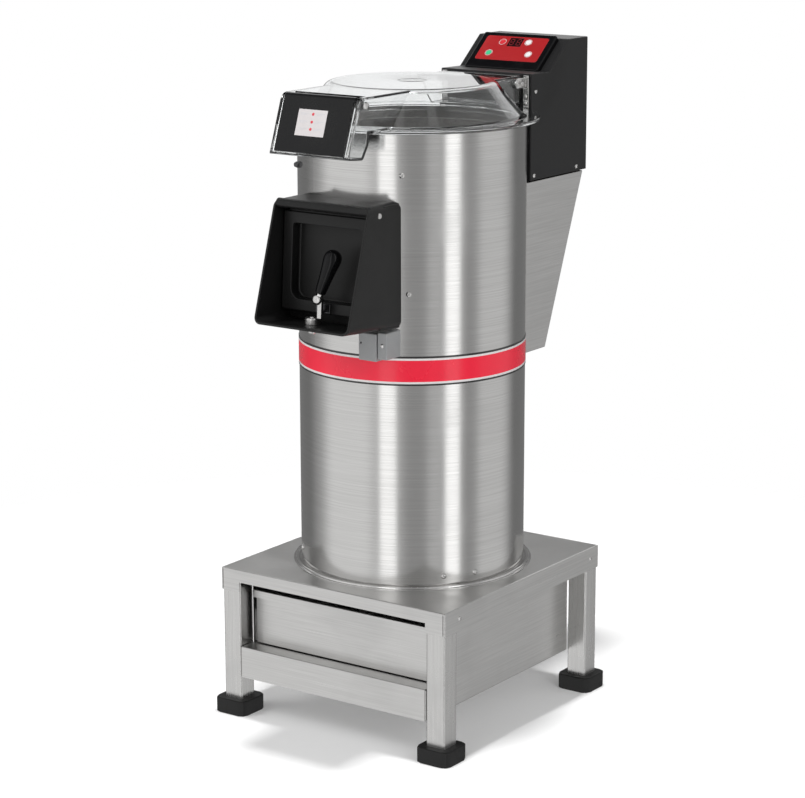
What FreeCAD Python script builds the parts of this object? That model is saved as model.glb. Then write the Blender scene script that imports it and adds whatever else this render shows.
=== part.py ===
import FreeCAD, Part
import math
import os
import re
import Sketcher

# Free-standing potato peeler: abrasive drum on a stand, clear lid, discharge door, peel drawer.
# Sizes are written about the drum's axis, with the floor at height 0, the front towards -Y.
# The place of that axis in the part's own frame is axis_y.

doc = FreeCAD.newDocument("potato_peeler")
sheet = doc.addObject("Spreadsheet::Sheet", "dims")

dimensions = {
    "axis_y": -60.0,
    # stand
    "plate_wide": 482, "plate_deep": 500, "plate_top": 270.5, "plate_skirt": 41, "plate_sheet": 2,
    "notch_half": 200.5, "notch_top": 247.5, "seam": 1.2,
    "leg_side": 38, "leg_wall": 2, "foot_side": 67, "foot_tall": 28, "foot_sole": 6, "foot_corner": 13,
    # peel tank and drawer
    "tank_half": 200.5, "tank_sheet": 1.5, "tank_bottom": 72, "tank_front": 247.5, "tank_mouth": 212,
    "tank_back": 209.5, "tank_top": 268.2, "shelf_top": 128, "rail_front": 249, "rail_bottom": 71,
    "rail_half": 198.8, "drain_height": 104, "drain_outer": 25, "drain_bore": 23, "drain_end": 249,
    "runner_edge": 186, "runner_top": 130.4, "runner_side": 187,
    "drawer_half": 184.5, "drawer_bottom": 131, "drawer_top": 215, "drawer_back": 195,
    "panel_half": 189.5, "panel_face": 213.5, "panel_bottom": 130, "panel_top": 229.5,
    "lip_reach": 9, "lip_drop": 14, "sieve_slot": 8, "sieve_pitch": 24, "sieve_long": 150,
    # drum
    "drum_radius": 200, "drum_sheet": 1.5, "drum_seam": 656, "drum_top": 1061,
    "foot_ring": 214, "foot_bead": 3.2, "band_low": 630.8, "band_high": 681.8, "band_thick": 1.1,
    "window_half": 76, "window_low": 770, "window_high": 915,
    "floor_top": 704, "floor_thick": 4, "liner_outer": 198.2, "liner_inner": 191,
    "liner_low": 760, "liner_high": 1040,
    "waste_x": -95, "waste_y": 95, "waste_outer": 26, "waste_bore": 24.5, "waste_end": 240,
    # drive
    "shaft_radius": 12.5, "shaft_low": 392, "shaft_high": 741, "bearing_outer": 26, "bearing_wide": 15,
    "bearing_gap": 0.05, "housing_outer": 34, "housing_flange": 70, "housing_low": 592,
    "disc_radius": 184, "disc_low": 738, "disc_thick": 14, "disc_wave": 8, "disc_hub": 30,
    "motor_x": 91, "motor_y": -75, "motor_radius": 65, "motor_low": 446, "motor_high": 636,
    "motor_plate": 6, "motor_shaft": 9.5, "pulley_low": 400, "pulley_wide": 24, "groove_wide": 10,
    "groove_deep": 10, "driven_radius": 80, "driver_radius": 28, "belt_wide": 8.8, "belt_deep": 8.5,
    "belt_gap": 0.6,
    # discharge hood, about the drum's axis
    "hood_half": 99, "hood_wall": 4, "hood_back": 170, "hood_top": 947, "hood_brow": 264,
    "hood_lip": 327, "hood_lip_z": 741.5, "hood_heel_z": 729.7, "brow_y": -258, "brow_z": 940,
    "brow_radius": 8, "seat_top_y": -218.5, "seat_low_y": -230.5, "seat_low_z": 742, "corner_soft": 13,
    # discharge door, about its hinge axis and leaning with the hood
    "door_y": -236.3, "door_z": 930.6, "door_lean": -3.9, "door_half": 92, "door_face": 9.8,
    "door_rear": 14.7, "door_low": 174, "door_high": 5.5, "border": 20, "recess": 21, "barrel": 6,
    "door_pin": 3, "pin_head": 5, "latch_drop": 147.5, "lever_face": 31.5, "lever_plate": 4,
    "lever_hub": 9, "grip_lean": 21.5, "ball_out": 76, "ball_radius": 15.5, "grip_foot": 9.5,
    "latch_post": 6.5, "keeper_x": -14, "keeper_y": -273.3, "keeper_z": 741.3, "keeper_lean": -4.07,
    "keeper_radius": 13,
    # guard switch under the hood
    "guard_low": 677, "guard_high": 727, "guard_face": 216, "guard_left": 40, "guard_mid": 78,
    "guard_right": 98,
    # lid, about the drum's axis
    "rim_radius": 223, "rim_low": 1061.4, "rim_high": 1067.5, "dome_foot": 194, "dome_top": 149,
    "lid_top": 1128, "lid_wall": 4, "spigot_outer": 197.2, "spigot_low": 1054,
    "box_half": 82, "box_wall": 4, "box_bead": 9, "roof": 1127, "roof_front": 236,
    "rear_half": 80, "rear_top": 1121,
    "lid_hinge_y": 212, "lid_hinge_z": 1108, "lid_pin": 4,
    # feed flap in the lid's front box, about its own pivot
    "flap_y": -250, "flap_z": 1113.5, "flap_lean": -19.5, "flap_half": 71.5, "flap_face": 19.5,
    "flap_sheet": 3, "flap_drop": 91, "flap_rise": 11, "flap_tail": 6, "flap_bend": 10, "flap_pin": 3.5,
    # control box and duct behind the drum
    "case_half": 97.5, "case_front": 232, "case_low": 932, "case_front_top": 1124,
    "slope_y": 292, "slope_z": 1122.6, "slope_long": 85, "slope_angle": 39.2,
    "case_back": 425, "case_top": 1176.3, "case_sheet": 1.5,
    "neck_half": 80, "neck_low": 940, "neck_high": 1045,
    "duct_half": 95, "duct_low": 616, "duct_toe": 292, "duct_heel": 417, "duct_top": 930,
    "bezel_half": 78.5, "bezel_low": -9, "bezel_high": 82, "bezel_proud": 10,
    "pad_half": 67, "pad_low": 11, "pad_high": 73, "pad_sink": 1.2, "key_radius": 6.2,
    "key_gap": 0.4, "key_rise": 0.9, "key_deep": 2.4,
    "valve_x": 40, "valve_z": 1005, "inlet_radius": 10.2, "inlet_end": 447, "spray_radius": 6,
    "gland_x": -55, "gland_z": 962,
}

for row, (alias, number) in enumerate(dimensions.items(), start=1):
    sheet.set(f"A{row}", alias)
    sheet.set(f"B{row}", str(number))
    sheet.setAlias(f"B{row}", alias)
doc.recompute()

# Local frames that lean about X: hinge, floor or slope line, and the angle of the lean.
frames = {
    "door": ("door_y", "door_z", "door_lean"),
    "flap": ("flap_y", "flap_z", "flap_lean"),
    "slope": ("slope_y", "slope_z", "slope_angle"),
    "keeper": ("keeper_y", "keeper_z", "keeper_lean"),
}
upright = FreeCAD.Rotation()
along = {
    "x": FreeCAD.Rotation(FreeCAD.Vector(0, 0, 1), FreeCAD.Vector(1, 0, 0)),
    "y": FreeCAD.Rotation(FreeCAD.Vector(0, 0, 1), FreeCAD.Vector(0, 1, 0)),
    "z": upright,
}
sides = {"left": -1, "right": 1}
pieces = []


def formula(text):
    # size names become references to the sheet
    return re.sub(r"[a-z_]+", lambda word: "dims." + word.group() if word.group() in dimensions
                  else word.group(), str(text))


def size(alias):
    return float(sheet.get(alias))


def bind(item, name, text):
    item.setExpression(name, formula(text))


def place(item, x, y, z, frame=None, spin=upright):
    # y and z are measured in the leaning frame when one is named
    rotation = spin
    if frame:
        origin_y, origin_z, angle = frames[frame]
        lean = FreeCAD.Rotation(FreeCAD.Vector(1, 0, 0), size(angle))
        rotation = lean.multiply(spin)
        cosine = f"cos({angle} * 1 deg)"
        sine = f"sin({angle} * 1 deg)"
        y, z = (f"{origin_y} + ({y}) * {cosine} - ({z}) * {sine}",
                f"{origin_z} + ({y}) * {sine} + ({z}) * {cosine}")
    item.Placement = FreeCAD.Placement(FreeCAD.Vector(), rotation)
    bind(item, "Placement.Base.x", x)
    bind(item, "Placement.Base.y", f"axis_y + {y}")
    bind(item, "Placement.Base.z", z)
    return item


def block(name, across, deep, high, frame=None):
    box = doc.addObject("Part::Box", name)
    bind(box, "Length", f"({across[1]}) - ({across[0]})")
    bind(box, "Width", f"({deep[1]}) - ({deep[0]})")
    bind(box, "Height", f"({high[1]}) - ({high[0]})")
    return place(box, across[0], deep[0], high[0], frame)


def rod(name, radius, length, base, axis="z", frame=None):
    cylinder = doc.addObject("Part::Cylinder", name)
    bind(cylinder, "Radius", radius)
    bind(cylinder, "Height", length)
    return place(cylinder, *base, frame, along[axis])


def cut(name, base, *tools):
    result = doc.addObject("Part::Cut", name)
    result.Base = base
    result.Tool = tools[0] if len(tools) == 1 else fuse(name + "_tools", *tools)
    return result


def fuse(name, *parts):
    result = doc.addObject("Part::MultiFuse", name)
    result.Shapes = list(parts)
    result.Refine = True
    return result


def common(name, *parts):
    result = doc.addObject("Part::MultiCommon", name)
    result.Shapes = list(parts)
    return result


def group(name, parts):
    result = doc.addObject("Part::Compound", name)
    result.Links = parts
    return result


def origin_item(body, role):
    return next(item for item in body.Origin.OriginFeatures if item.Role == role)


def outline(body, name, role, corners):
    # closed straight-sided sketch, each corner held at its two sizes
    sketch = body.newObject("Sketcher::SketchObject", name)
    sketch.AttachmentSupport = (origin_item(body, role), [""])
    sketch.MapMode = "FlatFace"
    count = len(corners)
    start = [FreeCAD.Vector(100 * math.cos(2 * math.pi * turn / count),
                            100 * math.sin(2 * math.pi * turn / count), 0) for turn in range(count)]
    for index in range(count):
        sketch.addGeometry(Part.LineSegment(start[index], start[(index + 1) % count]))
    for index in range(count):
        sketch.addConstraint(Sketcher.Constraint("Coincident", index, 2, (index + 1) % count, 1))
    for index, corner in enumerate(corners):
        guesses = (start[index].x, start[index].y)
        for kind, text, guess in zip(("DistanceX", "DistanceY"), corner, guesses):
            held = sketch.addConstraint(Sketcher.Constraint(kind, -1, 1, index, 1, guess))
            sketch.setExpression(f"Constraints[{held}]", formula(text))
    return sketch


def prism(name, role, corners, low, high, frame=None):
    body = doc.addObject("PartDesign::Body", name)
    pad = body.newObject("PartDesign::Pad", name + "_pad")
    pad.Profile = outline(body, name + "_outline", role, corners)
    bind(pad, "Length", f"({high}) - ({low})")
    body.Tip = pad
    start = {"YZ_Plane": (low, "0", "0"), "XZ_Plane": ("0", high, "0"), "XY_Plane": ("0", "0", low)}
    place(body, *start[role], frame)
    return body


def turned(name, corners, base=("0", "0", "0"), frame=None, spin=upright):
    # corners are radius and height about the piece's own axis
    body = doc.addObject("PartDesign::Body", name)
    sketch = outline(body, name + "_outline", "XZ_Plane", corners)
    turn = body.newObject("PartDesign::Revolution", name + "_turn")
    turn.Profile = sketch
    turn.ReferenceAxis = (sketch, ["V_Axis"])
    turn.Angle = 360
    body.Tip = turn
    place(body, *base, frame, spin)
    return body


def soften(body, radius, wanted):
    # rounds the edges of the body's last feature that wanted picks
    doc.recompute()
    base = body.Tip
    names = [f"Edge{index + 1}" for index, edge in enumerate(base.Shape.Edges) if wanted(edge)]
    fillet = body.newObject("PartDesign::Fillet", f"{base.Name}_soft")
    fillet.Base = (base, names)
    bind(fillet, "Radius", radius)
    body.Tip = fillet
    return body


def ring(name, outer, inner, low, high):
    return turned(name, [(inner, low), (outer, low), (outer, high), (inner, high)])


def span(side, near, far):
    # low and high edge of something between two distances from the middle, on either side
    return (near, far) if side > 0 else (f"-({far})", f"-({near})")


def keep(label, item):
    item.Label = label
    pieces.append(item)
    return item


# Stand

def stand_plate():
    wide, deep = "plate_wide / 2", "plate_deep / 2"
    low = "plate_top - plate_skirt"
    skin = block("plate_skin", ("-" + wide, wide), ("-" + deep, deep), (low, "plate_top"))
    hollow = block("plate_hollow", (f"-{wide} + plate_sheet", f"{wide} - plate_sheet"),
                   (f"-{deep} + plate_sheet", f"{deep} - plate_sheet"),
                   (f"{low} - 1", "plate_top - plate_sheet"))
    notch = block("plate_notch", ("-notch_half", "notch_half"), (f"-{deep} - 1", f"-{deep} + 3"),
                  (f"{low} - 1", "notch_top"))
    hole = rod("plate_waste_hole", "waste_outer + 1", "20", ("waste_x", "waste_y", "plate_top - 10"))
    seams = []
    for side in sides.values():
        for end in sides.values():
            at_x = f"{side} * ({wide} - plate_sheet - seam / 2)"
            at_y = f"{end} * {deep}"
            seams.append(block("plate_seam", (f"{at_x} - seam / 2", f"{at_x} + seam / 2"),
                               (f"{at_y} - plate_sheet", f"{at_y} + plate_sheet"),
                               (f"{low} - 1", "plate_top - plate_sheet")))
    return keep("stand_top_plate", cut("stand_top_plate", skin, hollow, notch, hole, *seams))


def legs_and_feet():
    for end_name, end in {"front": -1, "rear": 1}.items():
        for side_name, side in sides.items():
            corner = f"{end_name}_{side_name}"
            at_x = f"{side} * (plate_wide / 2 - plate_sheet - leg_side / 2)"
            at_y = f"{end} * (plate_deep / 2 - plate_sheet - leg_side / 2)"

            def square(name, half, low, high):
                return block(f"{name}_{corner}", (f"{at_x} - ({half})", f"{at_x} + {half}"),
                             (f"{at_y} - ({half})", f"{at_y} + {half}"), (low, high))

            tube = square("leg_tube", "leg_side / 2", "foot_sole", "plate_top - plate_sheet")
            bore = square("leg_bore", "(leg_side / 2 - leg_wall)", "foot_sole - 1", "plate_top")
            keep(f"leg_{corner}", cut(f"leg_{corner}", tube, bore))

            half, long = "(foot_side / 2)", "(foot_side / 2 - foot_corner)"
            corners = [("-" + long, "-" + half), (long, "-" + half), (half, "-" + long), (half, long),
                       (long, half), ("-" + long, half), ("-" + half, long), ("-" + half, "-" + long)]
            cap = prism(f"foot_cap_body_{corner}", "XY_Plane", corners, "0", "foot_tall")
            soften(cap, "2", lambda edge: abs(edge.CenterOfMass.z - size("foot_tall")) < 0.1)
            place(cap, at_x, at_y, "0")
            socket = square("foot_socket", "(leg_side / 2)", "foot_sole", "foot_tall + 1")
            keep(f"foot_cap_{corner}", cut(f"foot_cap_{corner}", cap, socket))


# Peel tank, its front rail, outlet and runners

def peel_tank():
    skin = prism("tank_skin", "YZ_Plane", [
        ("-tank_front", "tank_bottom"), ("tank_back", "tank_bottom"), ("tank_back", "tank_top"),
        ("-tank_mouth", "tank_top"), ("-tank_mouth", "shelf_top - 2"), ("-tank_front", "shelf_top - 2"),
    ], "-tank_half", "tank_half")
    inner_bottom = "tank_bottom + tank_sheet"
    hollow = prism("tank_hollow", "YZ_Plane", [
        ("-tank_front + tank_sheet", inner_bottom), ("tank_back - tank_sheet", inner_bottom),
        ("tank_back - tank_sheet", "tank_top + 5"), ("-tank_mouth - 5", "tank_top + 5"),
        ("-tank_mouth - 5", "shelf_top + 5"), ("-tank_front + tank_sheet", "shelf_top + 5"),
    ], "-tank_half + tank_sheet", "tank_half - tank_sheet")
    drain = rod("tank_drain_hole", "drain_bore", "10", ("0", "tank_back - 5", "drain_height"), "y")
    keep("peel_tank", cut("peel_tank", skin, hollow, drain))

    keep("tank_front_rail", prism("tank_front_rail", "YZ_Plane", [
        ("-rail_front", "rail_bottom"), ("-tank_front", "rail_bottom"),
        ("-tank_front", "shelf_top - tank_sheet"), ("-tank_mouth + 1", "shelf_top - tank_sheet"),
        ("-tank_mouth + 1", "shelf_top"), ("-rail_front", "shelf_top"),
    ], "-rail_half", "rail_half"))

    keep("tank_drain_outlet", turned("tank_drain_outlet", [
        ("drain_bore", "0"), ("drain_outer + 9", "0"), ("drain_outer + 9", "3"), ("drain_outer", "3"),
        ("drain_outer", "drain_end - tank_back"), ("drain_bore", "drain_end - tank_back"),
    ], ("0", "tank_back", "drain_height"), spin=along["y"]))


def drawer_runners():
    angles = []
    for side in sides.values():
        inner = "tank_half - tank_sheet"
        corners = [("runner_edge", "runner_top - 2"), (inner, "runner_top - 2"), (inner, "runner_side"),
                   (f"{inner} - tank_sheet", "runner_side"), (f"{inner} - tank_sheet", "runner_top"),
                   ("runner_edge", "runner_top")]
        if side < 0:
            corners = [(f"-({across})", high) for across, high in corners]
        angles.append(prism("runner_angle", "XZ_Plane", corners, "-tank_mouth + 6", "drawer_back"))
    keep("drawer_runners", group("drawer_runners", angles))


def peel_drawer():
    half = "drawer_half"
    skin = block("drawer_skin", ("-" + half, half), ("-tank_mouth", "drawer_back"),
                 ("drawer_bottom", "drawer_top"))
    hollow = block("drawer_hollow", (f"-{half} + tank_sheet", f"{half} - tank_sheet"),
                   ("-tank_mouth - 1", "drawer_back - tank_sheet"),
                   ("drawer_bottom + tank_sheet", "drawer_top + 1"))
    slots = []
    for column in range(-7, 8):
        for row, start in enumerate(("-tank_mouth + 25", "drawer_back - 25 - sieve_long")):
            at_x = f"{column} * sieve_pitch"
            slots.append(block(f"sieve_slot_{row}", (f"{at_x} - sieve_slot / 2", f"{at_x} + sieve_slot / 2"),
                               (start, f"{start} + sieve_long"), ("drawer_bottom - 1", "drawer_bottom + 4")))
    tray = cut("drawer_tray", skin, hollow, *slots)
    front = prism("drawer_front", "YZ_Plane", [
        ("-panel_face", "panel_bottom"), ("-tank_mouth", "panel_bottom"), ("-tank_mouth", "panel_top"),
        ("-panel_face - lip_reach", "panel_top"), ("-panel_face - lip_reach", "panel_top - lip_drop"),
        ("-panel_face - lip_reach + tank_sheet", "panel_top - lip_drop"),
        ("-panel_face - lip_reach + tank_sheet", "panel_top - tank_sheet"),
        ("-panel_face", "panel_top - tank_sheet"),
    ], "-panel_half", "panel_half")
    rails = []
    for side in sides.values():
        rails.append(block("drawer_rail", span(side, half, "panel_half + 7"), ("-tank_mouth", "drawer_back"),
                           ("drawer_bottom", "drawer_bottom + 2")))
    keep("peel_drawer", fuse("peel_drawer", tray, front, *rails))


# Drum and chamber

def drum():
    inner = "drum_radius - drum_sheet"
    bead = doc.addObject("Part::Torus", "foot_bead")
    bind(bead, "Radius1", "drum_radius + 2 * foot_bead")
    bind(bead, "Radius2", "foot_bead")
    place(bead, "0", "0", "plate_top + 2")
    flange = ring("foot_flange", "foot_ring", "drum_radius", "plate_top", "plate_top + 2")
    above = ring("bead_keep", "foot_ring + 5", "drum_radius", "plate_top", "plate_top + 20")
    keep("drum_foot_ring", fuse("drum_foot_ring", flange, common("bead_half", bead, above)))
    keep("lower_drum", ring("lower_drum", "drum_radius", inner, "plate_top", "drum_seam"))

    window = block("drum_window", ("-window_half", "window_half"), ("-drum_radius - 10", "-120"),
                   ("window_low", "window_high"))
    spray = rod("drum_spray_hole", "spray_radius + 0.2", "60", ("valve_x", "160", "valve_z"), "y")
    shell = ring("upper_skin", "drum_radius", inner, "drum_seam", "drum_top")
    keep("upper_drum", cut("upper_drum", shell, window, spray))
    liner = ring("liner_skin", "liner_outer", "liner_inner", "liner_low", "liner_high")
    window = block("liner_window", ("-window_half", "window_half"), ("-drum_radius - 10", "-120"),
                   ("window_low", "window_high"))
    spray = rod("liner_spray_hole", "spray_radius + 0.2", "60", ("valve_x", "160", "valve_z"), "y")
    keep("abrasive_liner", cut("abrasive_liner", liner, window, spray))
    keep("trim_band", ring("trim_band", "drum_radius + band_thick", "drum_radius", "band_low",
                           "band_high"))

    plate = ring("floor_plate", inner, "bearing_outer + 0.2", "floor_top - floor_thick", "floor_top")
    drop = rod("floor_waste_hole", "waste_outer", "20", ("waste_x", "waste_y", "floor_top - 10"))
    keep("chamber_floor", cut("chamber_floor", plate, drop))
    keep("waste_pipe", turned("waste_pipe", [
        ("waste_bore", "waste_end"), ("waste_outer", "waste_end"), ("waste_outer", "floor_top"),
        ("waste_bore", "floor_top"),
    ], ("waste_x", "waste_y", "0")))


# Drive: abrasive disc on the main shaft, belt driven by a motor beside it

def rotor():
    disc = turned("abrasive_disc", [
        ("shaft_radius", "disc_low - 26"), ("disc_hub", "disc_low - 26"), ("disc_hub", "disc_low"),
        ("disc_radius", "disc_low"), ("disc_radius", "disc_low + disc_thick - 4"),
        ("disc_radius - 8", "disc_low + disc_thick"), ("disc_hub + 6", "disc_low + disc_thick"),
        ("disc_hub - 8", "disc_low + disc_thick + 9"), ("0", "disc_low + disc_thick + 9"),
        ("0", "shaft_high"), ("shaft_radius", "shaft_high"),
    ])
    top = "disc_low + disc_thick"
    bars = {
        "wave": ([("-22", f"{top} - 2"), ("22", f"{top} - 2"), ("9", f"{top} + disc_wave"),
                  ("-9", f"{top} + disc_wave")], 3, "disc_hub + 12", "disc_radius - 18"),
        "paddle": ([("-4", "disc_low - 26"), ("4", "disc_low - 26"), ("4", "disc_low + 1"),
                    ("-4", "disc_low + 1")], 2, "disc_hub - 2", "disc_radius - 12"),
    }
    for name, (corners, count, start, end) in bars.items():
        sketch = outline(disc, f"disc_{name}_outline", "YZ_Plane", corners)
        bind(sketch, "AttachmentOffset.Base.z", start)
        pad = disc.newObject("PartDesign::Pad", f"disc_{name}")
        pad.Profile = sketch
        bind(pad, "Length", f"{end} - ({start})")
        disc.Tip = pad
        doc.recompute()
        pattern = disc.newObject("PartDesign::PolarPattern", f"disc_{name}s")
        pattern.Originals = [pad]
        pattern.Axis = (origin_item(disc, "Z_Axis"), [""])
        pattern.Angle = 360
        pattern.Occurrences = count
        disc.Tip = pattern
    keep("abrasive_disc", disc)
    keep("main_shaft", turned("main_shaft", [
        ("0", "shaft_low"), ("shaft_radius - 1", "shaft_low"), ("shaft_radius", "shaft_low + 1"),
        ("shaft_radius", "shaft_high"), ("0", "shaft_high"),
    ]))


def pulley(label, outer, bore, at_x, at_y):
    middle = "(pulley_low + pulley_wide / 2)"
    corners = [(bore, "pulley_low"), (outer, "pulley_low"), (outer, f"{middle} - groove_wide / 2"),
               (f"{outer} - groove_deep", f"{middle} - groove_wide / 2"),
               (f"{outer} - groove_deep", f"{middle} + groove_wide / 2"),
               (outer, f"{middle} + groove_wide / 2"), (outer, "pulley_low + pulley_wide"),
               (bore, "pulley_low + pulley_wide")]
    keep(label, turned(label, corners, (at_x, at_y, "0")))


def belt_loop(large, small, thick, low):
    # two arcs joined by their common tangents
    centre = FreeCAD.Vector(size("motor_x"), size("motor_y"), 0)
    lean = math.asin((large - small) / centre.Length)
    heading = math.atan2(centre.y, centre.x)
    up = FreeCAD.Vector(math.cos(heading + math.pi / 2 - lean), math.sin(heading + math.pi / 2 - lean), 0)
    down = FreeCAD.Vector(math.cos(heading - math.pi / 2 + lean), math.sin(heading - math.pi / 2 + lean), 0)
    out = FreeCAD.Vector(math.cos(heading), math.sin(heading), 0)
    edges = [
        Part.Arc(up * large, out * -large, down * large).toShape(),
        Part.LineSegment(down * large, centre + down * small).toShape(),
        Part.Arc(centre + down * small, centre + out * small, centre + up * small).toShape(),
        Part.LineSegment(centre + up * small, up * large).toShape(),
    ]
    loop = Part.Face(Part.Wire(edges)).extrude(FreeCAD.Vector(0, 0, thick))
    loop.translate(FreeCAD.Vector(0, 0, low))
    return loop


def drive_belt():
    low = size("pulley_low") + size("pulley_wide") / 2 - size("belt_wide") / 2
    floor = size("groove_deep") - size("belt_gap")
    outer = floor - size("belt_deep")
    belt = doc.addObject("Part::Feature", "drive_belt")
    large, small = size("driven_radius"), size("driver_radius")
    belt.Shape = belt_loop(large - outer, small - outer, size("belt_wide"), low).cut(
        belt_loop(large - floor, small - floor, size("belt_wide"), low))
    belt.Placement = FreeCAD.Placement(FreeCAD.Vector(0, size("axis_y"), 0), upright)
    keep("drive_belt", belt)


def drive():
    keep("bearing_housing", turned("bearing_housing", [
        ("bearing_outer", "housing_low"), ("housing_outer", "housing_low"),
        ("housing_outer", "floor_top - floor_thick - 10"), ("housing_flange", "floor_top - floor_thick - 10"),
        ("housing_flange", "floor_top - floor_thick"), ("bearing_outer", "floor_top - floor_thick"),
        ("bearing_outer", "floor_top - floor_thick - 3 - bearing_wide"),
        ("bearing_outer - 4", "floor_top - floor_thick - 3 - bearing_wide"),
        ("bearing_outer - 4", "housing_low + bearing_wide"), ("bearing_outer", "housing_low + bearing_wide"),
    ]))
    bearings = [ring("shaft_bearing", "bearing_outer", "shaft_radius + bearing_gap", low,
                     f"{low} + bearing_wide")
                for low in ("housing_low", "floor_top - floor_thick - 3 - bearing_wide")]
    keep("shaft_bearings", group("shaft_bearings", bearings))
    keep("shaft_seal", turned("shaft_seal", [
        ("shaft_radius + 0.1", "floor_top - floor_thick - 2.8"),
        ("bearing_outer", "floor_top - floor_thick - 2.8"), ("bearing_outer", "floor_top"),
        ("shaft_radius + 4", "floor_top + 2"), ("shaft_radius + 0.1", "floor_top + 2"),
    ]))
    plate = ring("motor_plate_skin", "drum_radius - drum_sheet", "housing_outer", "motor_low - motor_plate",
                 "motor_low")
    holes = [rod("motor_plate_waste", "waste_outer + 1", "20", ("waste_x", "waste_y", "motor_low - 13")),
             rod("motor_plate_boss", "motor_shaft + 6", "20", ("motor_x", "motor_y", "motor_low - 13"))]
    keep("motor_plate", cut("motor_plate", plate, *holes))

    low, high = "motor_low", "motor_high"
    body = turned("motor_casing", [
        ("motor_shaft + 0.1", low), ("motor_radius", low), ("motor_radius", f"{low} + 12"),
        ("motor_radius - 6", f"{low} + 14"), ("motor_radius - 6", f"{high} - 44"),
        ("motor_radius - 2", f"{high} - 42"), ("motor_radius - 2", f"{high} - 8"),
        ("motor_radius - 12", high), ("0", high), ("0", f"{low} + 40"), ("motor_shaft + 0.1", f"{low} + 40"),
    ], ("motor_x", "motor_y", "0"))
    fin = outline(body, "motor_fin_outline", "XY_Plane", [
        ("motor_radius - 8", "-1.2"), ("motor_radius - 1", "-1.2"), ("motor_radius - 1", "1.2"),
        ("motor_radius - 8", "1.2")])
    bind(fin, "AttachmentOffset.Base.z", f"{low} + 18")
    pad = body.newObject("PartDesign::Pad", "motor_fin")
    pad.Profile = fin
    bind(pad, "Length", f"{high} - 50 - ({low} + 18)")
    body.Tip = pad
    doc.recompute()
    fins = body.newObject("PartDesign::PolarPattern", "motor_fins")
    fins.Originals = [pad]
    fins.Axis = (origin_item(body, "Z_Axis"), [""])
    fins.Angle = 360
    fins.Occurrences = 24
    body.Tip = fins
    keep("motor_body", body)
    keep("motor_shaft", turned("motor_shaft_rod", [
        ("0", "pulley_low - 4"), ("motor_shaft", "pulley_low - 4"), ("motor_shaft", "motor_low + 38"),
        ("0", "motor_low + 38"),
    ], ("motor_x", "motor_y", "0")))
    pulley("driven_pulley", "driven_radius", "shaft_radius", "0", "0")
    pulley("motor_pulley", "driver_radius", "motor_shaft", "motor_x", "motor_y")
    drive_belt()


# Discharge hood, its pin, the latch keeper and the guard switch

def drum_core(name, low, high):
    return rod(name, "drum_radius + 0.1", f"{high} - ({low})", ("0", "0", low))


def band_way(name):
    return rod(name, "drum_radius + band_thick + 0.2", "band_high - band_low + 2", ("0", "0", "band_low - 1"))


def along_depth(edge, half):
    # true for an edge of a hood blank that runs front to back beside a side wall
    ends = [vertex.Point for vertex in edge.Vertexes]
    if len(ends) != 2:
        return False
    run = ends[1] - ends[0]
    beside = all(abs(abs(end.x - half) - half) < 0.1 for end in ends)
    return beside and abs(run.y) > 5 and abs(run.x) < 0.1 and abs(run.z) < abs(run.y)


def hood_blank(name, half, corners, soft):
    blank = prism(name, "YZ_Plane", corners, f"-({half})", half)
    reach = size("hood_half") if half == "hood_half" else size("hood_half") - size("hood_wall")
    return soften(blank, soft, lambda edge: along_depth(edge, reach))


def discharge_hood():
    skin = hood_blank("hood_skin", "hood_half", [
        ("-hood_back", "hood_heel_z"), ("-hood_lip", "hood_lip_z"), ("-hood_brow", "hood_top"),
        ("-hood_back", "hood_top")], "corner_soft")
    hollow = hood_blank("hood_hollow", "hood_half - hood_wall", [
        ("-hood_back + 10", "hood_heel_z + hood_wall - 0.5"),
        ("-hood_lip - 20", "hood_lip_z + hood_wall + 1"), ("-hood_brow - 27", "hood_top - hood_wall"),
        ("-hood_back + 10", "hood_top - hood_wall")], "corner_soft - hood_wall")
    seat = prism("hood_seat", "YZ_Plane", [
        ("-hood_back", "hood_heel_z + 2"), ("seat_low_y", "seat_low_z - 7"), ("seat_low_y", "seat_low_z"),
        ("seat_top_y", "door_z - 6"), ("seat_top_y", "hood_top - 1"), ("-hood_back", "hood_top - 1"),
    ], "-hood_half + 2", "hood_half - 2")
    brow = rod("hood_brow_bar", "brow_radius", "2 * hood_half - 8",
               ("-hood_half + 4", "brow_y", "brow_z"), "x")
    solid = fuse("hood_solid", cut("hood_walls", skin, hollow), seat, brow)
    tools = [
        drum_core("hood_drum_core", "hood_heel_z - 20", "hood_top + 20"),
        block("hood_window", ("-window_half", "window_half"), ("-hood_lip + 40", "-120"),
              ("window_low", "window_high")),
        rod("hood_pin_hole", "door_pin", "2 * hood_half + 20", ("-hood_half - 10", "door_y", "door_z"), "x"),
        rod("hood_stud_hole", "4.1", "30", ("keeper_x", "0", "-15"), "z", "keeper"),
    ]
    keep("discharge_hood", cut("discharge_hood", solid, *tools))

    shank = rod("door_pin_shank", "door_pin", "2 * hood_half", ("-hood_half", "door_y", "door_z"), "x")
    heads = [turned("door_pin_head", [("0", "0"), ("pin_head", "0"), ("pin_head - 0.6", "2"),
                                      ("pin_head - 2.5", "3"), ("0", "3")],
                    (f"{side} * hood_half", "door_y", "door_z"),
                    spin=FreeCAD.Rotation(FreeCAD.Vector(0, 0, 1), FreeCAD.Vector(side, 0, 0)))
             for side in sides.values()]
    keep("door_hinge_pin", fuse("door_hinge_pin", shank, *heads))

    keep("latch_keeper_nut", turned("latch_keeper_nut", [
        ("0", "-17"), ("4", "-16.5"), ("7", "-14"), ("7", "-7"), ("4", "-7"), ("4", "0.1"),
        ("keeper_radius - 1", "0.1"), ("keeper_radius", "1.1"), ("keeper_radius", "10"),
        ("keeper_radius - 1.5", "11.5"), ("4.5", "11.5"), ("4.5", "13"), ("0", "13"),
    ], ("keeper_x", "0", "0"), "keeper"))


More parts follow.
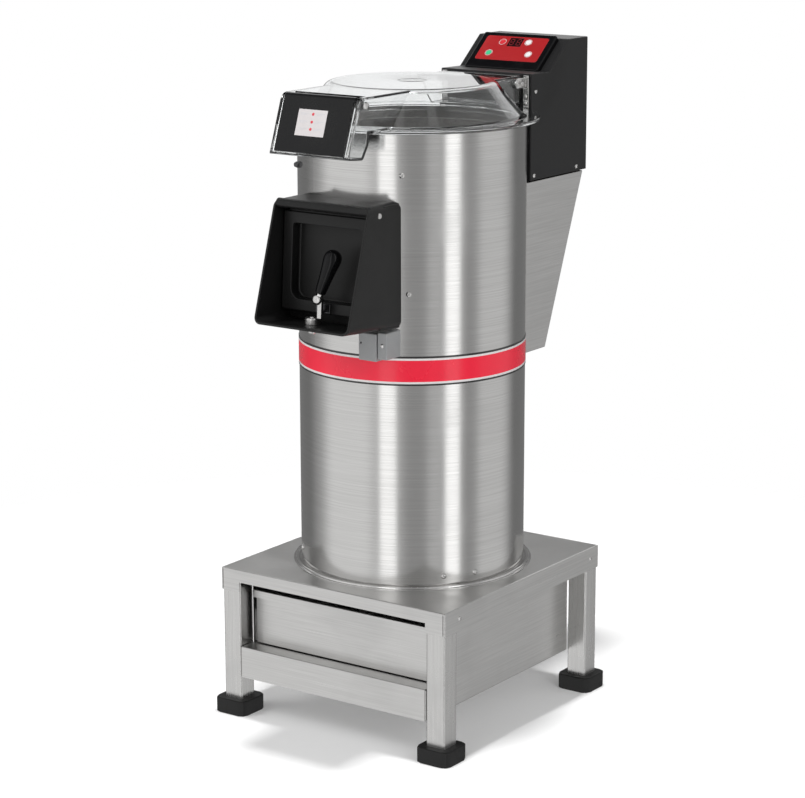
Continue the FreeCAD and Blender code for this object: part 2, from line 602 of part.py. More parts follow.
def guard_switch():
    deep = ("-guard_face", "-150")
    left = block("guard_left_half", ("guard_left", "guard_mid - 1"), deep, ("guard_low", "guard_high - 2"))
    right = block("guard_right_half", ("guard_mid + 1", "guard_right"), ("-guard_face + 1", "-150"),
                  ("guard_low + 5", "guard_high + 1"))
    web = block("guard_web", ("guard_mid - 3", "guard_mid + 3"), ("-guard_face + 6", "-150"),
                ("guard_low + 6", "guard_high - 3"))
    hole = rod("guard_hole", "2", "12", ("guard_left + 5", "-guard_face - 2", "guard_high - 20"), "y")
    core = drum_core("guard_drum_core", "guard_low - 20", "guard_high + 20")
    keep("guard_switch", cut("guard_switch", fuse("guard_solid", left, right, web), core,
                             band_way("guard_band_way"), hole))


# Discharge door, modelled about its hinge axis in the door's leaning frame

def discharge_door():
    slab = block("door_slab", ("-door_half", "door_half"), ("-door_face", "door_rear"),
                 ("-door_low", "-door_high"), "door")
    half, low, high = "(door_half - border)", "-door_low + border", "-door_high - border"
    recess = prism("door_recess", "XZ_Plane", [
        ("-" + half, low), (half, low), (half, high), ("-" + half, high),
    ], "-door_face - 5", "-door_face + recess", "door")
    lower = size("border") - size("door_low")
    soften(recess, "corner_soft + 7", lambda edge: len(edge.Vertexes) == 2
           and abs(edge.Vertexes[0].Z - edge.Vertexes[1].Z) < 0.1
           and abs(edge.Vertexes[0].X - edge.Vertexes[1].X) < 0.1 and abs(edge.Vertexes[0].Z - lower) < 0.1)
    barrel = rod("door_barrel", "barrel", "2 * door_half - 20", ("-door_half + 10", "0", "0"), "x", "door")
    web = block("door_barrel_web", ("-door_half + 10", "door_half - 10"), ("-barrel", "barrel"),
                ("-door_high - 1", "0"), "door")
    bore = rod("door_bore", "door_pin + 0.06", "2 * door_half + 10", ("-door_half - 5", "0", "0"), "x", "door")
    keep("discharge_door", cut("discharge_door", fuse("door_blank", slab, barrel, web), recess, bore))

    rim = block("gasket_outer", ("-door_half + 4", "door_half - 4"), ("door_rear", "door_rear + 3"),
                ("-door_low + 4", "-door_high - 4"), "door")
    gap = block("gasket_inner", ("-door_half + 13", "door_half - 13"), ("door_rear - 1", "door_rear + 4"),
                ("-door_low + 13", "-door_high - 13"), "door")
    keep("door_gasket", cut("door_gasket", rim, gap))


def door_latch():
    base = block("latch_base", ("-13", "13"), ("-door_face - 2.5", "-door_face"),
                 ("-door_low + 2", "-door_low + border - 2"), "door")
    front, rear = "-door_face - 15.7", "-door_face - 12"
    post = block("latch_post_plate", ("-latch_post", "latch_post"), (front, rear),
                 ("-door_low + 6", "-latch_drop"), "door")
    eye = rod("latch_post_eye", "latch_post", "3.7", ("0", front, "-latch_drop"), "y", "door")
    foot = block("latch_foot", ("-latch_post", "latch_post"), (front, "-door_face"),
                 ("-door_low + 4", "-door_low + 8"), "door")
    pivot = rod("latch_pivot", "4", "lever_face - door_face - 12 + 1", ("0", "-lever_face - 1", "-latch_drop"),
                "y", "door")
    cap = turned("latch_cap", [("0", "0"), ("lever_hub", "0"), ("lever_hub - 0.8", "2.4"),
                               ("lever_hub - 4", "4.6"), ("0", "5.2")],
                 ("0", "-lever_face - 0.4", "-latch_drop"), "door",
                 FreeCAD.Rotation(FreeCAD.Vector(0, 0, 1), FreeCAD.Vector(0, -1, 0)))
    keep("latch_bracket", fuse("latch_bracket", base, foot, post, eye, pivot, cap))

    rear = "-lever_face + lever_plate"
    hub = rod("lever_hub_disc", "lever_hub", "lever_plate", ("0", "-lever_face", "-latch_drop"), "y", "door")
    tail = block("lever_tail", ("0", "9"), ("-lever_face", rear), ("-latch_drop - 32", "-latch_drop"), "door")
    lean = FreeCAD.Rotation(FreeCAD.Vector(0, 1, 0), size("grip_lean"))
    stem = turned("lever_stem", [("0", "2"), ("3.6", "2"), ("3.6", "26"), ("0", "26")],
                  ("0", "-lever_face + lever_plate / 2", "-latch_drop"), "door", lean)
    collar = turned("lever_collar", [("0", "lever_hub - 1"), ("5.5", "lever_hub - 1"), ("5.5", "11.8"),
                                     ("0", "11.8")],
                    ("0", "-lever_face + lever_plate / 2", "-latch_drop"), "door", lean)
    bore = rod("lever_bore", "4.06", "30", ("0", "-lever_face - 10", "-latch_drop"), "y", "door")
    slot = block("lever_slot", ("-12", "12"), ("-lever_face - 9", "-lever_face"),
                 ("-latch_drop - 12", "-latch_drop + 9.5"), "door")
    back = block("lever_back", ("-12", "12"), (rear, f"{rear} + 9"), ("-latch_drop - 12", "-latch_drop + 9.5"),
                 "door")
    keep("latch_lever", cut("latch_lever", fuse("lever_solid", hub, tail, stem, collar), bore, slot, back))

    grip = turned("lever_grip", [
        ("3.6", "12"), ("grip_foot - 1.5", "12"), ("grip_foot", "14"), ("grip_foot + 1.2", "24"),
        ("ball_radius - 1.5", "ball_out - 12"), ("ball_radius", "ball_out - 3"),
        ("ball_radius", "ball_out + 2"), ("ball_radius - 2.2", "ball_out + 8"),
        ("ball_radius - 7", "ball_out + 13.4"), ("0", "ball_out + ball_radius"), ("0", "26"), ("3.6", "26"),
    ], ("0", "-lever_face + lever_plate / 2", "-latch_drop"), "door", lean)
    keep("lever_grip", grip)


# Lid of clear sheet: rim and dome, open front box over the feed mouth, rear box on the hinge

def lid_solid(name, inset, top, rim_edge, rim_low):
    shoulder = f"dome_top - {inset} * 0.7"
    return turned(name, [
        ("0", rim_low), (f"{rim_edge} - 1.5", rim_low), (rim_edge, f"{rim_low} + 1.5"),
        (rim_edge, "rim_high - 2"), (f"{rim_edge} - 1.8", "rim_high"), (f"dome_foot - {inset}", "rim_high"),
        (f"{shoulder} + 1", f"{top} - 5"), (f"{shoulder} - 1.4", f"{top} - 1.4"), (f"{shoulder} - 4", top),
        ("0", top)])


def lid():
    outer = lid_solid("lid_outer", "0", "lid_top", "rim_radius", "rim_low")
    spigot = ring("lid_spigot", "spigot_outer", "spigot_outer - 5", "spigot_low", "rim_low + 1")
    front = prism("lid_front_box", "YZ_Plane", [
        ("-262", "roof"), ("-298", "1028"), ("-257", "1024"), ("-241", "1048"), ("-239", "1065"),
        ("-150", "1065"), ("-120", "roof"),
    ], "-box_half", "box_half")
    soften(front, "12", lambda edge: all(abs(end.Y + 262) < 0.1 and abs(end.Z - size("roof")) < 0.1
                                         for end in edge.Vertexes))
    rear = prism("lid_rear_box", "YZ_Plane", [
        ("110", "rear_top"), ("226", "rear_top"), ("226", "1071"), ("214", "1065"), ("150", "1065"),
    ], "-rear_half", "rear_half")
    soften(rear, "7", lambda edge: all(abs(end.Y - 226) < 0.1 and abs(end.Z - size("rear_top")) < 0.1
                                       for end in edge.Vertexes))
    solid = fuse("lid_solid", outer, spigot, front, rear)

    dome = lid_solid("lid_dome_hollow", "4.2", "lid_top - lid_wall", "spigot_outer - 3", "spigot_low - 5")
    front_hollow = prism("lid_front_hollow", "YZ_Plane", [
        ("-257.5", "roof - lid_wall"), ("-293", "1031.2"), ("-259", "1028.5"), ("-245", "1049.5"),
        ("-243", "1070"), ("-165", "1070"), ("-108", "roof - lid_wall"),
    ], "-box_half + box_wall", "box_half - box_wall")
    front_way = prism("lid_front_way", "YZ_Plane", [
        ("-330", "roof - lid_wall"), ("-330", "1034"), ("-285", "1030.6"), ("-250", "roof - lid_wall"),
    ], "-box_half + box_bead", "box_half - box_bead")
    mouth = block("lid_mouth", ("-box_half + box_bead", "box_half - box_bead"), ("-330", "-roof_front"),
                  ("1100", "lid_top + 2"))
    rear_hollow = prism("lid_rear_hollow", "YZ_Plane", [
        ("105", "rear_top - lid_wall"), ("222", "rear_top - lid_wall"), ("222", "1074"), ("212", "1070"),
        ("140", "1070"),
    ], "-rear_half + box_wall", "rear_half - box_wall")
    pins = [rod("lid_hinge_hole", "lid_pin", "2 * rear_half + 10",
                ("-rear_half - 5", "lid_hinge_y", "lid_hinge_z"), "x"),
            rod("lid_flap_hole", "flap_pin", "2 * box_half + 10", ("-box_half - 5", "flap_y", "flap_z"), "x")]
    keep("lid_shell", cut("lid_shell", solid, dome, front_hollow, front_way, mouth, rear_hollow, *pins))

    bolts = []
    for side in sides.values():
        outward = FreeCAD.Rotation(FreeCAD.Vector(0, 0, 1), FreeCAD.Vector(side, 0, 0))
        bolts.append(turned("lid_hinge_stub", [("0", "0"), ("lid_pin", "0"), ("lid_pin", "16"), ("0", "16")],
                            (f"{side} * (rear_half - box_wall)", "lid_hinge_y", "lid_hinge_z"), spin=outward))
        bolts.append(turned("lid_flap_bolt", [
            ("0", "0"), ("flap_pin", "0"), ("flap_pin", "18"), ("6.5", "18"), ("6.5", "20"), ("4.5", "22.5"),
            ("0", "23")], (f"{side} * (box_half - 18)", "flap_y", "flap_z"), spin=outward))
    keep("lid_bolts", group("lid_bolts", bolts))

    bars = []
    for side in sides.values():
        leaf = block("hinge_leaf", span(side, "82", "93"), ("case_front - 3", "case_front"), ("1062", "1121"))
        ear = block("hinge_ear", span(side, "82", "87"), ("lid_hinge_y - 8", "case_front"),
                    ("lid_hinge_z - 9", "lid_hinge_z + 9"))
        hole = rod("hinge_ear_hole", "lid_pin + 0.06", "20",
                   (f"{side} * 85 - 10", "lid_hinge_y", "lid_hinge_z"), "x")
        bars.append(cut("hinge_bar", fuse("hinge_bar_solid", leaf, ear), hole))
    keep("lid_hinge_bars", group("lid_hinge_bars", bars))


def splash_flap():
    front, back, under = "-flap_face", "-flap_face + flap_sheet", "flap_rise - flap_sheet"
    skin = prism("flap_skin", "YZ_Plane", [
        (front, "-flap_drop"), (back, "-flap_drop"), (back, under), ("flap_tail", under),
        ("flap_tail", "flap_rise"), (front, "flap_rise"),
    ], "-flap_half", "flap_half", "flap")
    inset = size("flap_sheet")
    for radius, off in (("flap_bend", 0), ("flap_bend - flap_sheet", inset)):
        at_y, at_z = off - size("flap_face"), size("flap_rise") - off
        soften(skin, radius, lambda edge: all(abs(end.Y - at_y) < 0.1 and abs(end.Z - at_z) < 0.1
                                              for end in edge.Vertexes))
    hem = block("flap_hem", ("-flap_half", "flap_half"), (back, f"{back} + 2.5"),
                ("-flap_drop", "-flap_drop + 3"), "flap")
    shapes = [skin, hem]
    for side in sides.values():
        cheek = prism("flap_cheek", "YZ_Plane", [
            (f"{back} - 1", "-flap_drop + 4"), ("-8", "-flap_drop + 4"), ("-8", "-14"), ("flap_tail", "-6"),
            ("flap_tail", f"{under} + 1"), (f"{back} + flap_bend - 3", f"{under} + 1"),
            (f"{back} - 1", "flap_rise - flap_bend"),
        ], *span(side, "flap_half - flap_sheet", "flap_half"), "flap")
        hole = rod("flap_ear_hole", "flap_pin + 0.06", "20",
                   (f"{side} * flap_half - 10", "0", "0"), "x", "flap")
        shapes.append(cut("flap_ear", cheek, hole))
    keep("splash_flap", fuse("splash_flap", *shapes))


# Control box, duct cover and what they hold

def control_box():
    ridge_y = "(slope_y + slope_long * cos(slope_angle * 1 deg))"
    back, front = "case_back", "case_front"

    def shape(name, inset, base, half):
        return prism(name, "YZ_Plane", [
            (f"{front} + {inset}", base), (f"{front} + {inset}", f"case_front_top - {inset}"),
            (f"slope_y + {inset} * 0.36", f"slope_z - {inset}"),
            (f"{ridge_y} + {inset} * 0.36", f"case_top - {inset}"),
            (f"{back} - {inset}", f"case_top - {inset}"), (f"{back} - {inset}", base),
        ], f"-({half})", half)

    skin = shape("case_skin", "0", "case_low", "case_half")
    hollow = shape("case_hollow", "case_sheet", "case_low - 5", "case_half - case_sheet")
    neck = block("case_neck", ("-neck_half", "neck_half"), ("100", "case_front + 1"),
                 ("neck_low", "neck_high"))
    tools = [
        block("case_neck_way", ("-neck_half + case_sheet", "neck_half - case_sheet"),
              ("90", "case_front + 10"), ("neck_low + case_sheet", "neck_high - case_sheet")),
        drum_core("case_drum_core", "neck_low - 20", "neck_high + 20"),
        block("case_board_way", ("-60", "60"), ("15", "70"), ("-8", "8"), "slope"),
        rod("case_inlet_hole", "inlet_radius", "20", ("valve_x", "case_back - 10", "valve_z"), "y"),
        rod("case_gland_hole", "8", "20", ("gland_x", "case_back - 10", "gland_z"), "y"),
    ]
    solid = fuse("case_solid", cut("case_shell", skin, hollow), neck)
    keep("control_housing", cut("control_housing", solid, *tools))

    def duct(name, inset, top, half):
        return prism(name, "YZ_Plane", [
            ("100", f"duct_low + {inset}"), (f"duct_toe - {inset}", f"duct_low + {inset}"),
            (f"duct_heel - {inset} * 1.1", top), ("100", top)], f"-({half})", half)

    keep("duct_cover", cut("duct_cover", duct("duct_skin", "0", "duct_top", "duct_half"),
                           duct("duct_hollow", "1.5", "duct_top + 5", "duct_half - 1.5"),
                           drum_core("duct_drum_core", "duct_low - 20", "duct_top + 20"),
                           band_way("duct_band_way")))


def control_panel():
    slab = block("bezel_slab", ("-bezel_half", "bezel_half"), ("bezel_low", "bezel_high"),
                 ("0.1", "bezel_proud"), "slope")
    case = prism("bezel_case", "YZ_Plane", [
        ("case_front", "case_low"), ("case_front", "case_front_top"), ("slope_y", "slope_z"),
        ("slope_y + 60", "slope_z - 60"),
    ], "-bezel_half - 5", "bezel_half + 5")
    sink = block("bezel_sink", ("-pad_half", "pad_half"), ("pad_low", "pad_high"),
                 ("bezel_proud - pad_sink", "bezel_proud + 1"), "slope")
    wells = []
    holes = []
    for name, (at_x, at_u) in keys.items():
        wells.append(rod("key_well", "key_radius + key_gap", "10",
                         (at_x, at_u, "bezel_proud - pad_sink - key_deep"), "z", "slope"))
        holes.append(rod("key_hole", "key_radius + key_gap", "10", (at_x, at_u, "bezel_proud - pad_sink - 5"),
                         "z", "slope"))
        low = "bezel_proud - pad_sink - key_deep + 1"
        cap = turned(name, [
            ("0", "0"), ("key_radius", "0"), ("key_radius", "key_deep - 1 + pad_sink + key_rise - 0.8"),
            ("key_radius - 1", "key_deep - 1 + pad_sink + key_rise - 0.2"),
            ("0", "key_deep - 1 + pad_sink + key_rise")], (at_x, at_u, low), "slope")
        keep(name, cap)
    keep("control_bezel", cut("control_bezel", slab, case, sink, *wells))
    pad = block("keypad_sheet", ("-pad_half + 0.3", "pad_half - 0.3"), ("pad_low + 0.3", "pad_high - 0.3"),
                ("bezel_proud - pad_sink", "bezel_proud - 0.2"), "slope")
    keep("keypad_membrane", cut("keypad_membrane", pad, *holes))

    board = block("board_sheet", ("-68", "68"), ("10", "74"), ("-16", "-14.4"), "slope")
    chips = [block("board_chip", (str(low), str(low + 16)), ("24", "38"), ("-20", "-16"), "slope")
             for low in (-48, -22, 4, 30)]
    posts = [rod("board_post", "3", "14.4 - case_sheet", (str(x), str(u), "-14.5"), "z", "slope")
             for x in (-64, 64) for u in (14, 70)]
    keep("circuit_board", fuse("circuit_board", board, *chips, *posts))


def box_contents():
    back = "case_back - case_sheet"
    body = block("contactor_body", ("-70", "-24"), (f"{back} - 78", back), ("1010", "1092"))
    top = block("contactor_top", ("-66", "-28"), (f"{back} - 92", f"{back} - 70"), ("1026", "1076"))
    keep("contactor", fuse("contactor", body, top))

    block_y = ("372", "408")
    body = block("valve_block", ("valve_x - 18", "valve_x + 18"), block_y, ("valve_z - 16", "valve_z + 16"))
    coil = rod("valve_coil", "17", "42", ("valve_x", "390", "valve_z + 14"))
    inlet = rod("valve_inlet", "inlet_radius", "inlet_end - 400", ("valve_x", "400", "valve_z"), "y")
    nut = turned("valve_collar", [("0", "0"), ("17", "0"), ("17", "6"), ("0", "6")],
                 ("valve_x", "case_back", "valve_z"), spin=along["y"])
    bore = rod("valve_bore", "inlet_radius - 2.6", "60", ("valve_x", "400", "valve_z"), "y")
    keep("water_valve", cut("water_valve", fuse("valve_solid", body, coil, inlet, nut), bore))

    pipe = rod("spray_tube", "spray_radius", "372 - 176", ("valve_x", "176", "valve_z"), "y")
    tip = turned("spray_tip", [("0", "0"), ("spray_radius", "0"), ("spray_radius + 3", "3"),
                               ("spray_radius + 3", "9"), ("spray_radius", "12"), ("0", "12")],
                 ("valve_x", "168", "valve_z"), spin=along["y"])
    bore = rod("spray_bore", "spray_radius - 1.5", "240", ("valve_x", "160", "valve_z"), "y")
    keep("spray_pipe", cut("spray_pipe", fuse("spray_solid", pipe, tip), bore))

    keep("cable_gland", turned("cable_gland", [
        ("0", "-12"), ("8", "-12"), ("8", "0"), ("13", "0"), ("13", "5"), ("11", "7"), ("11", "15"),
        ("8.5", "22"), ("4.5", "22"), ("4.5", "10"), ("0", "10"),
    ], ("gland_x", "case_back", "gland_z"), spin=along["y"]))


keys = {
    "start_key": ("-44", "29"),
    "stop_key": ("-28", "58"),
    "time_up_key": ("27", "60"),
    "time_down_key": ("41", "30"),
}

# Button head screws, each a place on the surface and the way its head points

def screw(place_of_head, way, radius, tall):
    head = turned("screw_head", [("0", "0"), (str(radius), "0"), (str(radius * 0.92), str(tall * 0.45)),
                                 (str(radius * 0.6), str(tall * 0.9)), ("0", str(tall))],
                  tuple(str(number) for number in place_of_head),
                  spin=FreeCAD.Rotation(FreeCAD.Vector(0, 0, 1), FreeCAD.Vector(*way)))
    return head


def on_drum(turn, high):
    # a head on the drum's skin, turn in degrees from the front towards the right
    across = math.sin(math.radians(turn))
    deep = -math.cos(math.radians(turn))
    reach = size("drum_radius") + 0.15
    return (across * reach, deep * reach, high), (across, deep, 0)


def screws():
    bright = []
    for turn, high in ((33.4, 789), (30.2, 990.5), (50.7, 291), (68, 291), (-43.5, 298.5), (146, 789),
                       (-146, 789), (150, 291), (-150, 291), (-100, 291)):
        bright.append(screw(*on_drum(turn, high), 5, 3))
    wide, case = size("plate_wide") / 2, size("case_half")
    for side in sides.values():
        for deep in (-205, 222):
            bright.append(screw((side * wide, deep, 251), (side, 0, 0), 4, 2))
        for deep, high in ((247, 1091), (244, 940), (389, 940)):
            bright.append(screw((side * case, deep, high), (side, 0, 0), 4, 2.4))
        for high in (1083.8, 1071.9):
            bright.append(screw((side * 87.5, size("case_front") - 3, high), (0, -1, 0), 3.4, 2.4))
        inner = size("tank_half") - 2 * size("tank_sheet")
        for high in (177.5, 139):
            bright.append(screw((side * inner, -200.5, high), (-side, 0, 0), 2.6, 1.4))
    keep("case_screws", group("case_screws", bright))

    dark = [screw(*on_drum(-132 + 90, 988), 6, 9), screw((size("duct_half"), 214, 768), (1, 0, 0), 5, 5),
            screw((-size("duct_half"), 214, 768), (-1, 0, 0), 5, 5)]
    keep("dark_bolts", group("dark_bolts", dark))


stand_plate()
legs_and_feet()
peel_tank()
drawer_runners()
peel_drawer()
drum()
rotor()
drive()
discharge_hood()
guard_switch()
discharge_door()
door_latch()
lid()
splash_flap()
control_box()
control_panel()
box_contents()
screws()
doc.recompute()

problems = [f"{item.Label}: {item.State}" for item in doc.Objects
            if "Invalid" in item.State or "Error" in item.State]
for item in pieces:
    if item.Shape.isNull() or not item.Shape.isValid():
        problems.append(f"{item.Label}: no valid shape")
if problems:
    raise SystemExit("\n".join(problems))

os.makedirs("parts", exist_ok=True)
whole = FreeCAD.BoundBox()
for item in pieces:
    item.Shape.exportStep(f"parts/{item.Label}.step")
    whole.add(item.Shape.BoundBox)
print(len(pieces), "pieces", "reach", [round(value, 2) for value in (
    whole.XMin, whole.XMax, whole.YMin, whole.YMax, whole.ZMin, whole.ZMax)])
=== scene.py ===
import math

import bmesh
import bpy
from mathutils import Matrix, Vector


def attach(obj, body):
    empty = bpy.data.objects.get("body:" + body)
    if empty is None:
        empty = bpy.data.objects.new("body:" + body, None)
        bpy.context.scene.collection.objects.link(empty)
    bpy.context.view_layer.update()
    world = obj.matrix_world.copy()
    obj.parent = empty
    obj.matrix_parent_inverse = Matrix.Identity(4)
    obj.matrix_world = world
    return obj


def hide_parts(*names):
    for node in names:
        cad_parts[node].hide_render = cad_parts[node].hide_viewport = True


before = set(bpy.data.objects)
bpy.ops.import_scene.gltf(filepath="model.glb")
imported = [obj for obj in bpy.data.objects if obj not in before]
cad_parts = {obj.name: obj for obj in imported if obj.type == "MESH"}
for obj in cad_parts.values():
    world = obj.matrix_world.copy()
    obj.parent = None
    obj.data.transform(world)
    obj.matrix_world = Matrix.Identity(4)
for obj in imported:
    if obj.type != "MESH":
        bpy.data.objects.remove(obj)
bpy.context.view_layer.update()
print("frame loaded")

# Forms are drawn in millimetres about the drum's axis, floor at 0, front towards -Y.
axisY = -0.060  # where that axis stands in the part's frame, in metres
leanings = {"door": (-236.3, 930.6, -3.9), "flap": (-250.0, 1113.5, -19.5), "slope": (292.0, 1122.6, 39.2),
    "keeper": (-273.3, 741.3, -4.07)}
drum = {"radius": 200.0, "sheet": 1.5, "base": 270.6, "seam": 656.2, "top": 1061.0, "steps": 160}


# small shaping tools

def roundEdges(bm, width, steps=3, wanted=None):
    picked = [edge for edge in bm.edges if wanted is None or wanted(edge)]
    bmesh.ops.bevel(bm, geom=picked, offset=width, offset_type="OFFSET", segments=steps, profile=0.5,
        affect="EDGES", material=-1, clamp_overlap=True)
    return bm


def bothEnds(test):
    return lambda edge: all(test(vert.co) for vert in edge.verts)


def isFold(edge):
    return len(edge.link_faces) == 2


def upright(least):
    # picks the edges that climb further than this
    return lambda edge: abs(edge.verts[0].co.z - edge.verts[1].co.z) > least


def blockForm(low, high, soft=0.0, steps=3, wanted=None):
    bm = bmesh.new()
    bmesh.ops.create_cube(bm, size=1)
    bmesh.ops.scale(bm, vec=[b - a for a, b in zip(low, high)], verts=bm.verts)
    bmesh.ops.translate(bm, vec=[(a + b) / 2 for a, b in zip(low, high)], verts=bm.verts)
    if soft:
        roundEdges(bm, soft, steps, wanted)
    return bm


def sideForm(corners, low, high):
    # an outline in Y and Z, carried along X
    bm = bmesh.new()
    face = bm.faces.new([bm.verts.new((low, y, z)) for y, z in corners])
    grown = bmesh.ops.extrude_face_region(bm, geom=[face])
    ends = [item for item in grown["geom"] if isinstance(item, bmesh.types.BMVert)]
    bmesh.ops.translate(bm, vec=(high - low, 0, 0), verts=ends)
    bmesh.ops.recalc_face_normals(bm, faces=bm.faces)
    return bm


def stripForm(path, low, high):
    # an open path in Y and Z, carried along X as one skin
    bm = bmesh.new()
    verts = [bm.verts.new((low, y, z)) for y, z in path]
    edges = [bm.edges.new(pair) for pair in zip(verts, verts[1:])]
    grown = bmesh.ops.extrude_edge_only(bm, edges=edges)
    ends = [item for item in grown["geom"] if isinstance(item, bmesh.types.BMVert)]
    bmesh.ops.translate(bm, vec=(high - low, 0, 0), verts=ends)
    return bm


def turnedForm(chain, steps=64, closed=False):
    # a chain of radius and height, turned about Z; an open chain starts and ends on the axis
    bm = bmesh.new()
    verts = [bm.verts.new((radius, 0, height)) for radius, height in chain]
    edges = [bm.edges.new(pair) for pair in zip(verts, verts[1:])]
    if closed:
        edges.append(bm.edges.new((verts[-1], verts[0])))
    bmesh.ops.spin(bm, geom=verts + edges, cent=(0, 0, 0), axis=(0, 0, 1), dvec=(0, 0, 0), angle=math.tau,
        steps=steps, use_merge=True, use_duplicate=False)
    bmesh.ops.remove_doubles(bm, verts=bm.verts, dist=0.002)
    bmesh.ops.recalc_face_normals(bm, faces=bm.faces)
    return bm


def barForm(radius, length, steps):
    bm = bmesh.new()
    bmesh.ops.create_cone(bm, cap_ends=True, segments=steps, radius1=radius, radius2=radius, depth=length)
    return bm


def roundRims(bm, rims, steps=4):
    # each rim is a radius, a height and how far to round it
    for radius, height, width in rims:
        roundEdges(bm, width, steps, bothEnds(lambda co: abs(math.hypot(co.x, co.y) - radius) < 0.05
            and abs(co.z - height) < 0.05))
    return bm


def moved(bm, x=0, y=0, z=0):
    bmesh.ops.translate(bm, vec=(x, y, z), verts=bm.verts)
    return bm


def aimed(bm, way):
    turn = Vector((0, 0, 1)).rotation_difference(Vector(way).normalized()).to_matrix()
    bmesh.ops.rotate(bm, cent=(0, 0, 0), matrix=turn, verts=bm.verts)
    return bm


def leaned(bm, name):
    y, z, angle = leanings[name]
    bmesh.ops.rotate(bm, cent=(0, 0, 0), matrix=Matrix.Rotation(math.radians(angle), 3, "X"), verts=bm.verts)
    return moved(bm, 0, y, z)


def joined(forms):
    whole = bmesh.new()
    for form in forms:
        passing = bpy.data.meshes.new("passing")
        form.to_mesh(passing)
        form.free()
        whole.from_mesh(passing)
        bpy.data.meshes.remove(passing)
    return whole


def dropFaces(bm, unwanted):
    doomed = [face for face in bm.faces if unwanted(face)]
    bmesh.ops.delete(bm, geom=doomed, context="FACES")
    return bm


def sliced(bm, point, normal):
    bmesh.ops.bisect_plane(bm, geom=bm.verts[:] + bm.edges[:] + bm.faces[:], dist=0.0005, plane_co=point,
        plane_no=normal)
    return bm


def looseObject(name, bm):
    mesh = bpy.data.meshes.new(name)
    bm.to_mesh(mesh)
    bm.free()
    item = bpy.data.objects.new(name, mesh)
    bpy.context.scene.collection.objects.link(item)
    return item


def settled(item):
    # the object's mesh with its modifiers made real
    graph = bpy.context.evaluated_depsgraph_get()
    return bpy.data.meshes.new_from_object(item.evaluated_get(graph))


def clearAway(items):
    for item in items:
        mesh = item.data
        bpy.data.objects.remove(item)
        bpy.data.meshes.remove(mesh)


def carved(base, tools):
    # base with each tool added or taken away, as (way, form)
    target = looseObject("carving", base)
    others = []
    for way, tool in tools:
        others.append(looseObject("carvingTool", tool))
        step = target.modifiers.new("carve", "BOOLEAN")
        step.operation = way
        step.solver = "EXACT"
        step.object = others[-1]
    mesh = settled(target)
    result = bmesh.new()
    result.from_mesh(mesh)
    bpy.data.meshes.remove(mesh)
    clearAway([target] + others)
    bmesh.ops.remove_doubles(result, verts=result.verts, dist=0.003)
    bmesh.ops.dissolve_degenerate(result, dist=0.002, edges=result.edges)
    return result


def drumCore(low, high, gap=0.15):
    # what a piece that meets the drum is cut by, with a wider belt where the red band runs
    inner, outer = drum["radius"] + gap, drum["radius"] + 1.3
    belt = [(inner, 629.8), (outer, 629.8), (outer, 682.8), (inner, 682.8)] if low < 682 else []
    chain = [(0, low), (inner, low), *belt, (inner, high), (0, high)]
    return turnedForm([step for step in chain if step[1] >= low], drum["steps"])


def finishPiece(name, bm, material, body, replaces=(), thick=0.0, rim=0.0, rimSteps=2, sharp=32):
    bmesh.ops.scale(bm, vec=(0.001, 0.001, 0.001), verts=bm.verts)
    bmesh.ops.translate(bm, vec=(0, axisY, 0), verts=bm.verts)
    bmesh.ops.recalc_face_normals(bm, faces=bm.faces)
    piece = looseObject(name, bm)
    if thick:
        wall = piece.modifiers.new("wall", "SOLIDIFY")
        wall.thickness = thick / 1000
        wall.offset = -1
        wall.use_even_offset = True
    if rim:
        soft = piece.modifiers.new("rim", "BEVEL")
        soft.width = rim / 1000
        soft.segments = rimSteps
        soft.limit_method = "ANGLE"
        soft.angle_limit = math.radians(48)
        soft.use_clamp_overlap = True
    if thick or rim:
        rough = piece.data
        piece.data = settled(piece)
        piece.data.name = name
        bpy.data.meshes.remove(rough)
        piece.modifiers.clear()
    for polygon in piece.data.polygons:
        polygon.use_smooth = True
    piece.data.set_sharp_from_angle(angle=math.radians(sharp))
    shading = piece.modifiers.new("evenShading", "WEIGHTED_NORMAL")
    shading.keep_sharp = True
    piece.data.materials.clear()
    piece.data.materials.append(material)
    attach(piece, body)
    if replaces:
        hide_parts(*replaces)
    return piece


# shared surface effects, each a node group built once

def setInputs(node, values):
    for label, value in values.items():
        node.inputs[label].default_value = value
    return node


def wire(tree, pairs):
    for source, target in pairs:
        tree.links.new(source, target)


def newGroup(name, inputs, outputs):
    group = bpy.data.node_groups.new(name, "ShaderNodeTree")
    for label, kind, value in inputs:
        socket = group.interface.new_socket(label, in_out="INPUT", socket_type=kind)
        socket.default_value = value
    for label, kind in outputs:
        group.interface.new_socket(label, in_out="OUTPUT", socket_type=kind)
    return group, group.nodes.new("NodeGroupInput"), group.nodes.new("NodeGroupOutput")


def makeGrainGroup():
    group, given, result = newGroup("grain", [("Vector", "NodeSocketVector", (0, 0, 0)),
        ("Stretch", "NodeSocketVector", (300, 300, 5)), ("Detail", "NodeSocketFloat", 4.0)],
        [("Lines", "NodeSocketFloat")])
    stretch = group.nodes.new("ShaderNodeVectorMath")
    stretch.operation = "MULTIPLY"
    lines = setInputs(group.nodes.new("ShaderNodeTexNoise"), {"Scale": 1.0, "Roughness": 0.62})
    wire(group, [(given.outputs["Vector"], stretch.inputs[0]), (given.outputs["Stretch"], stretch.inputs[1]),
        (stretch.outputs[0], lines.inputs["Vector"]), (given.outputs["Detail"], lines.inputs["Detail"]),
        (lines.outputs["Fac"], result.inputs["Lines"])])
    return group


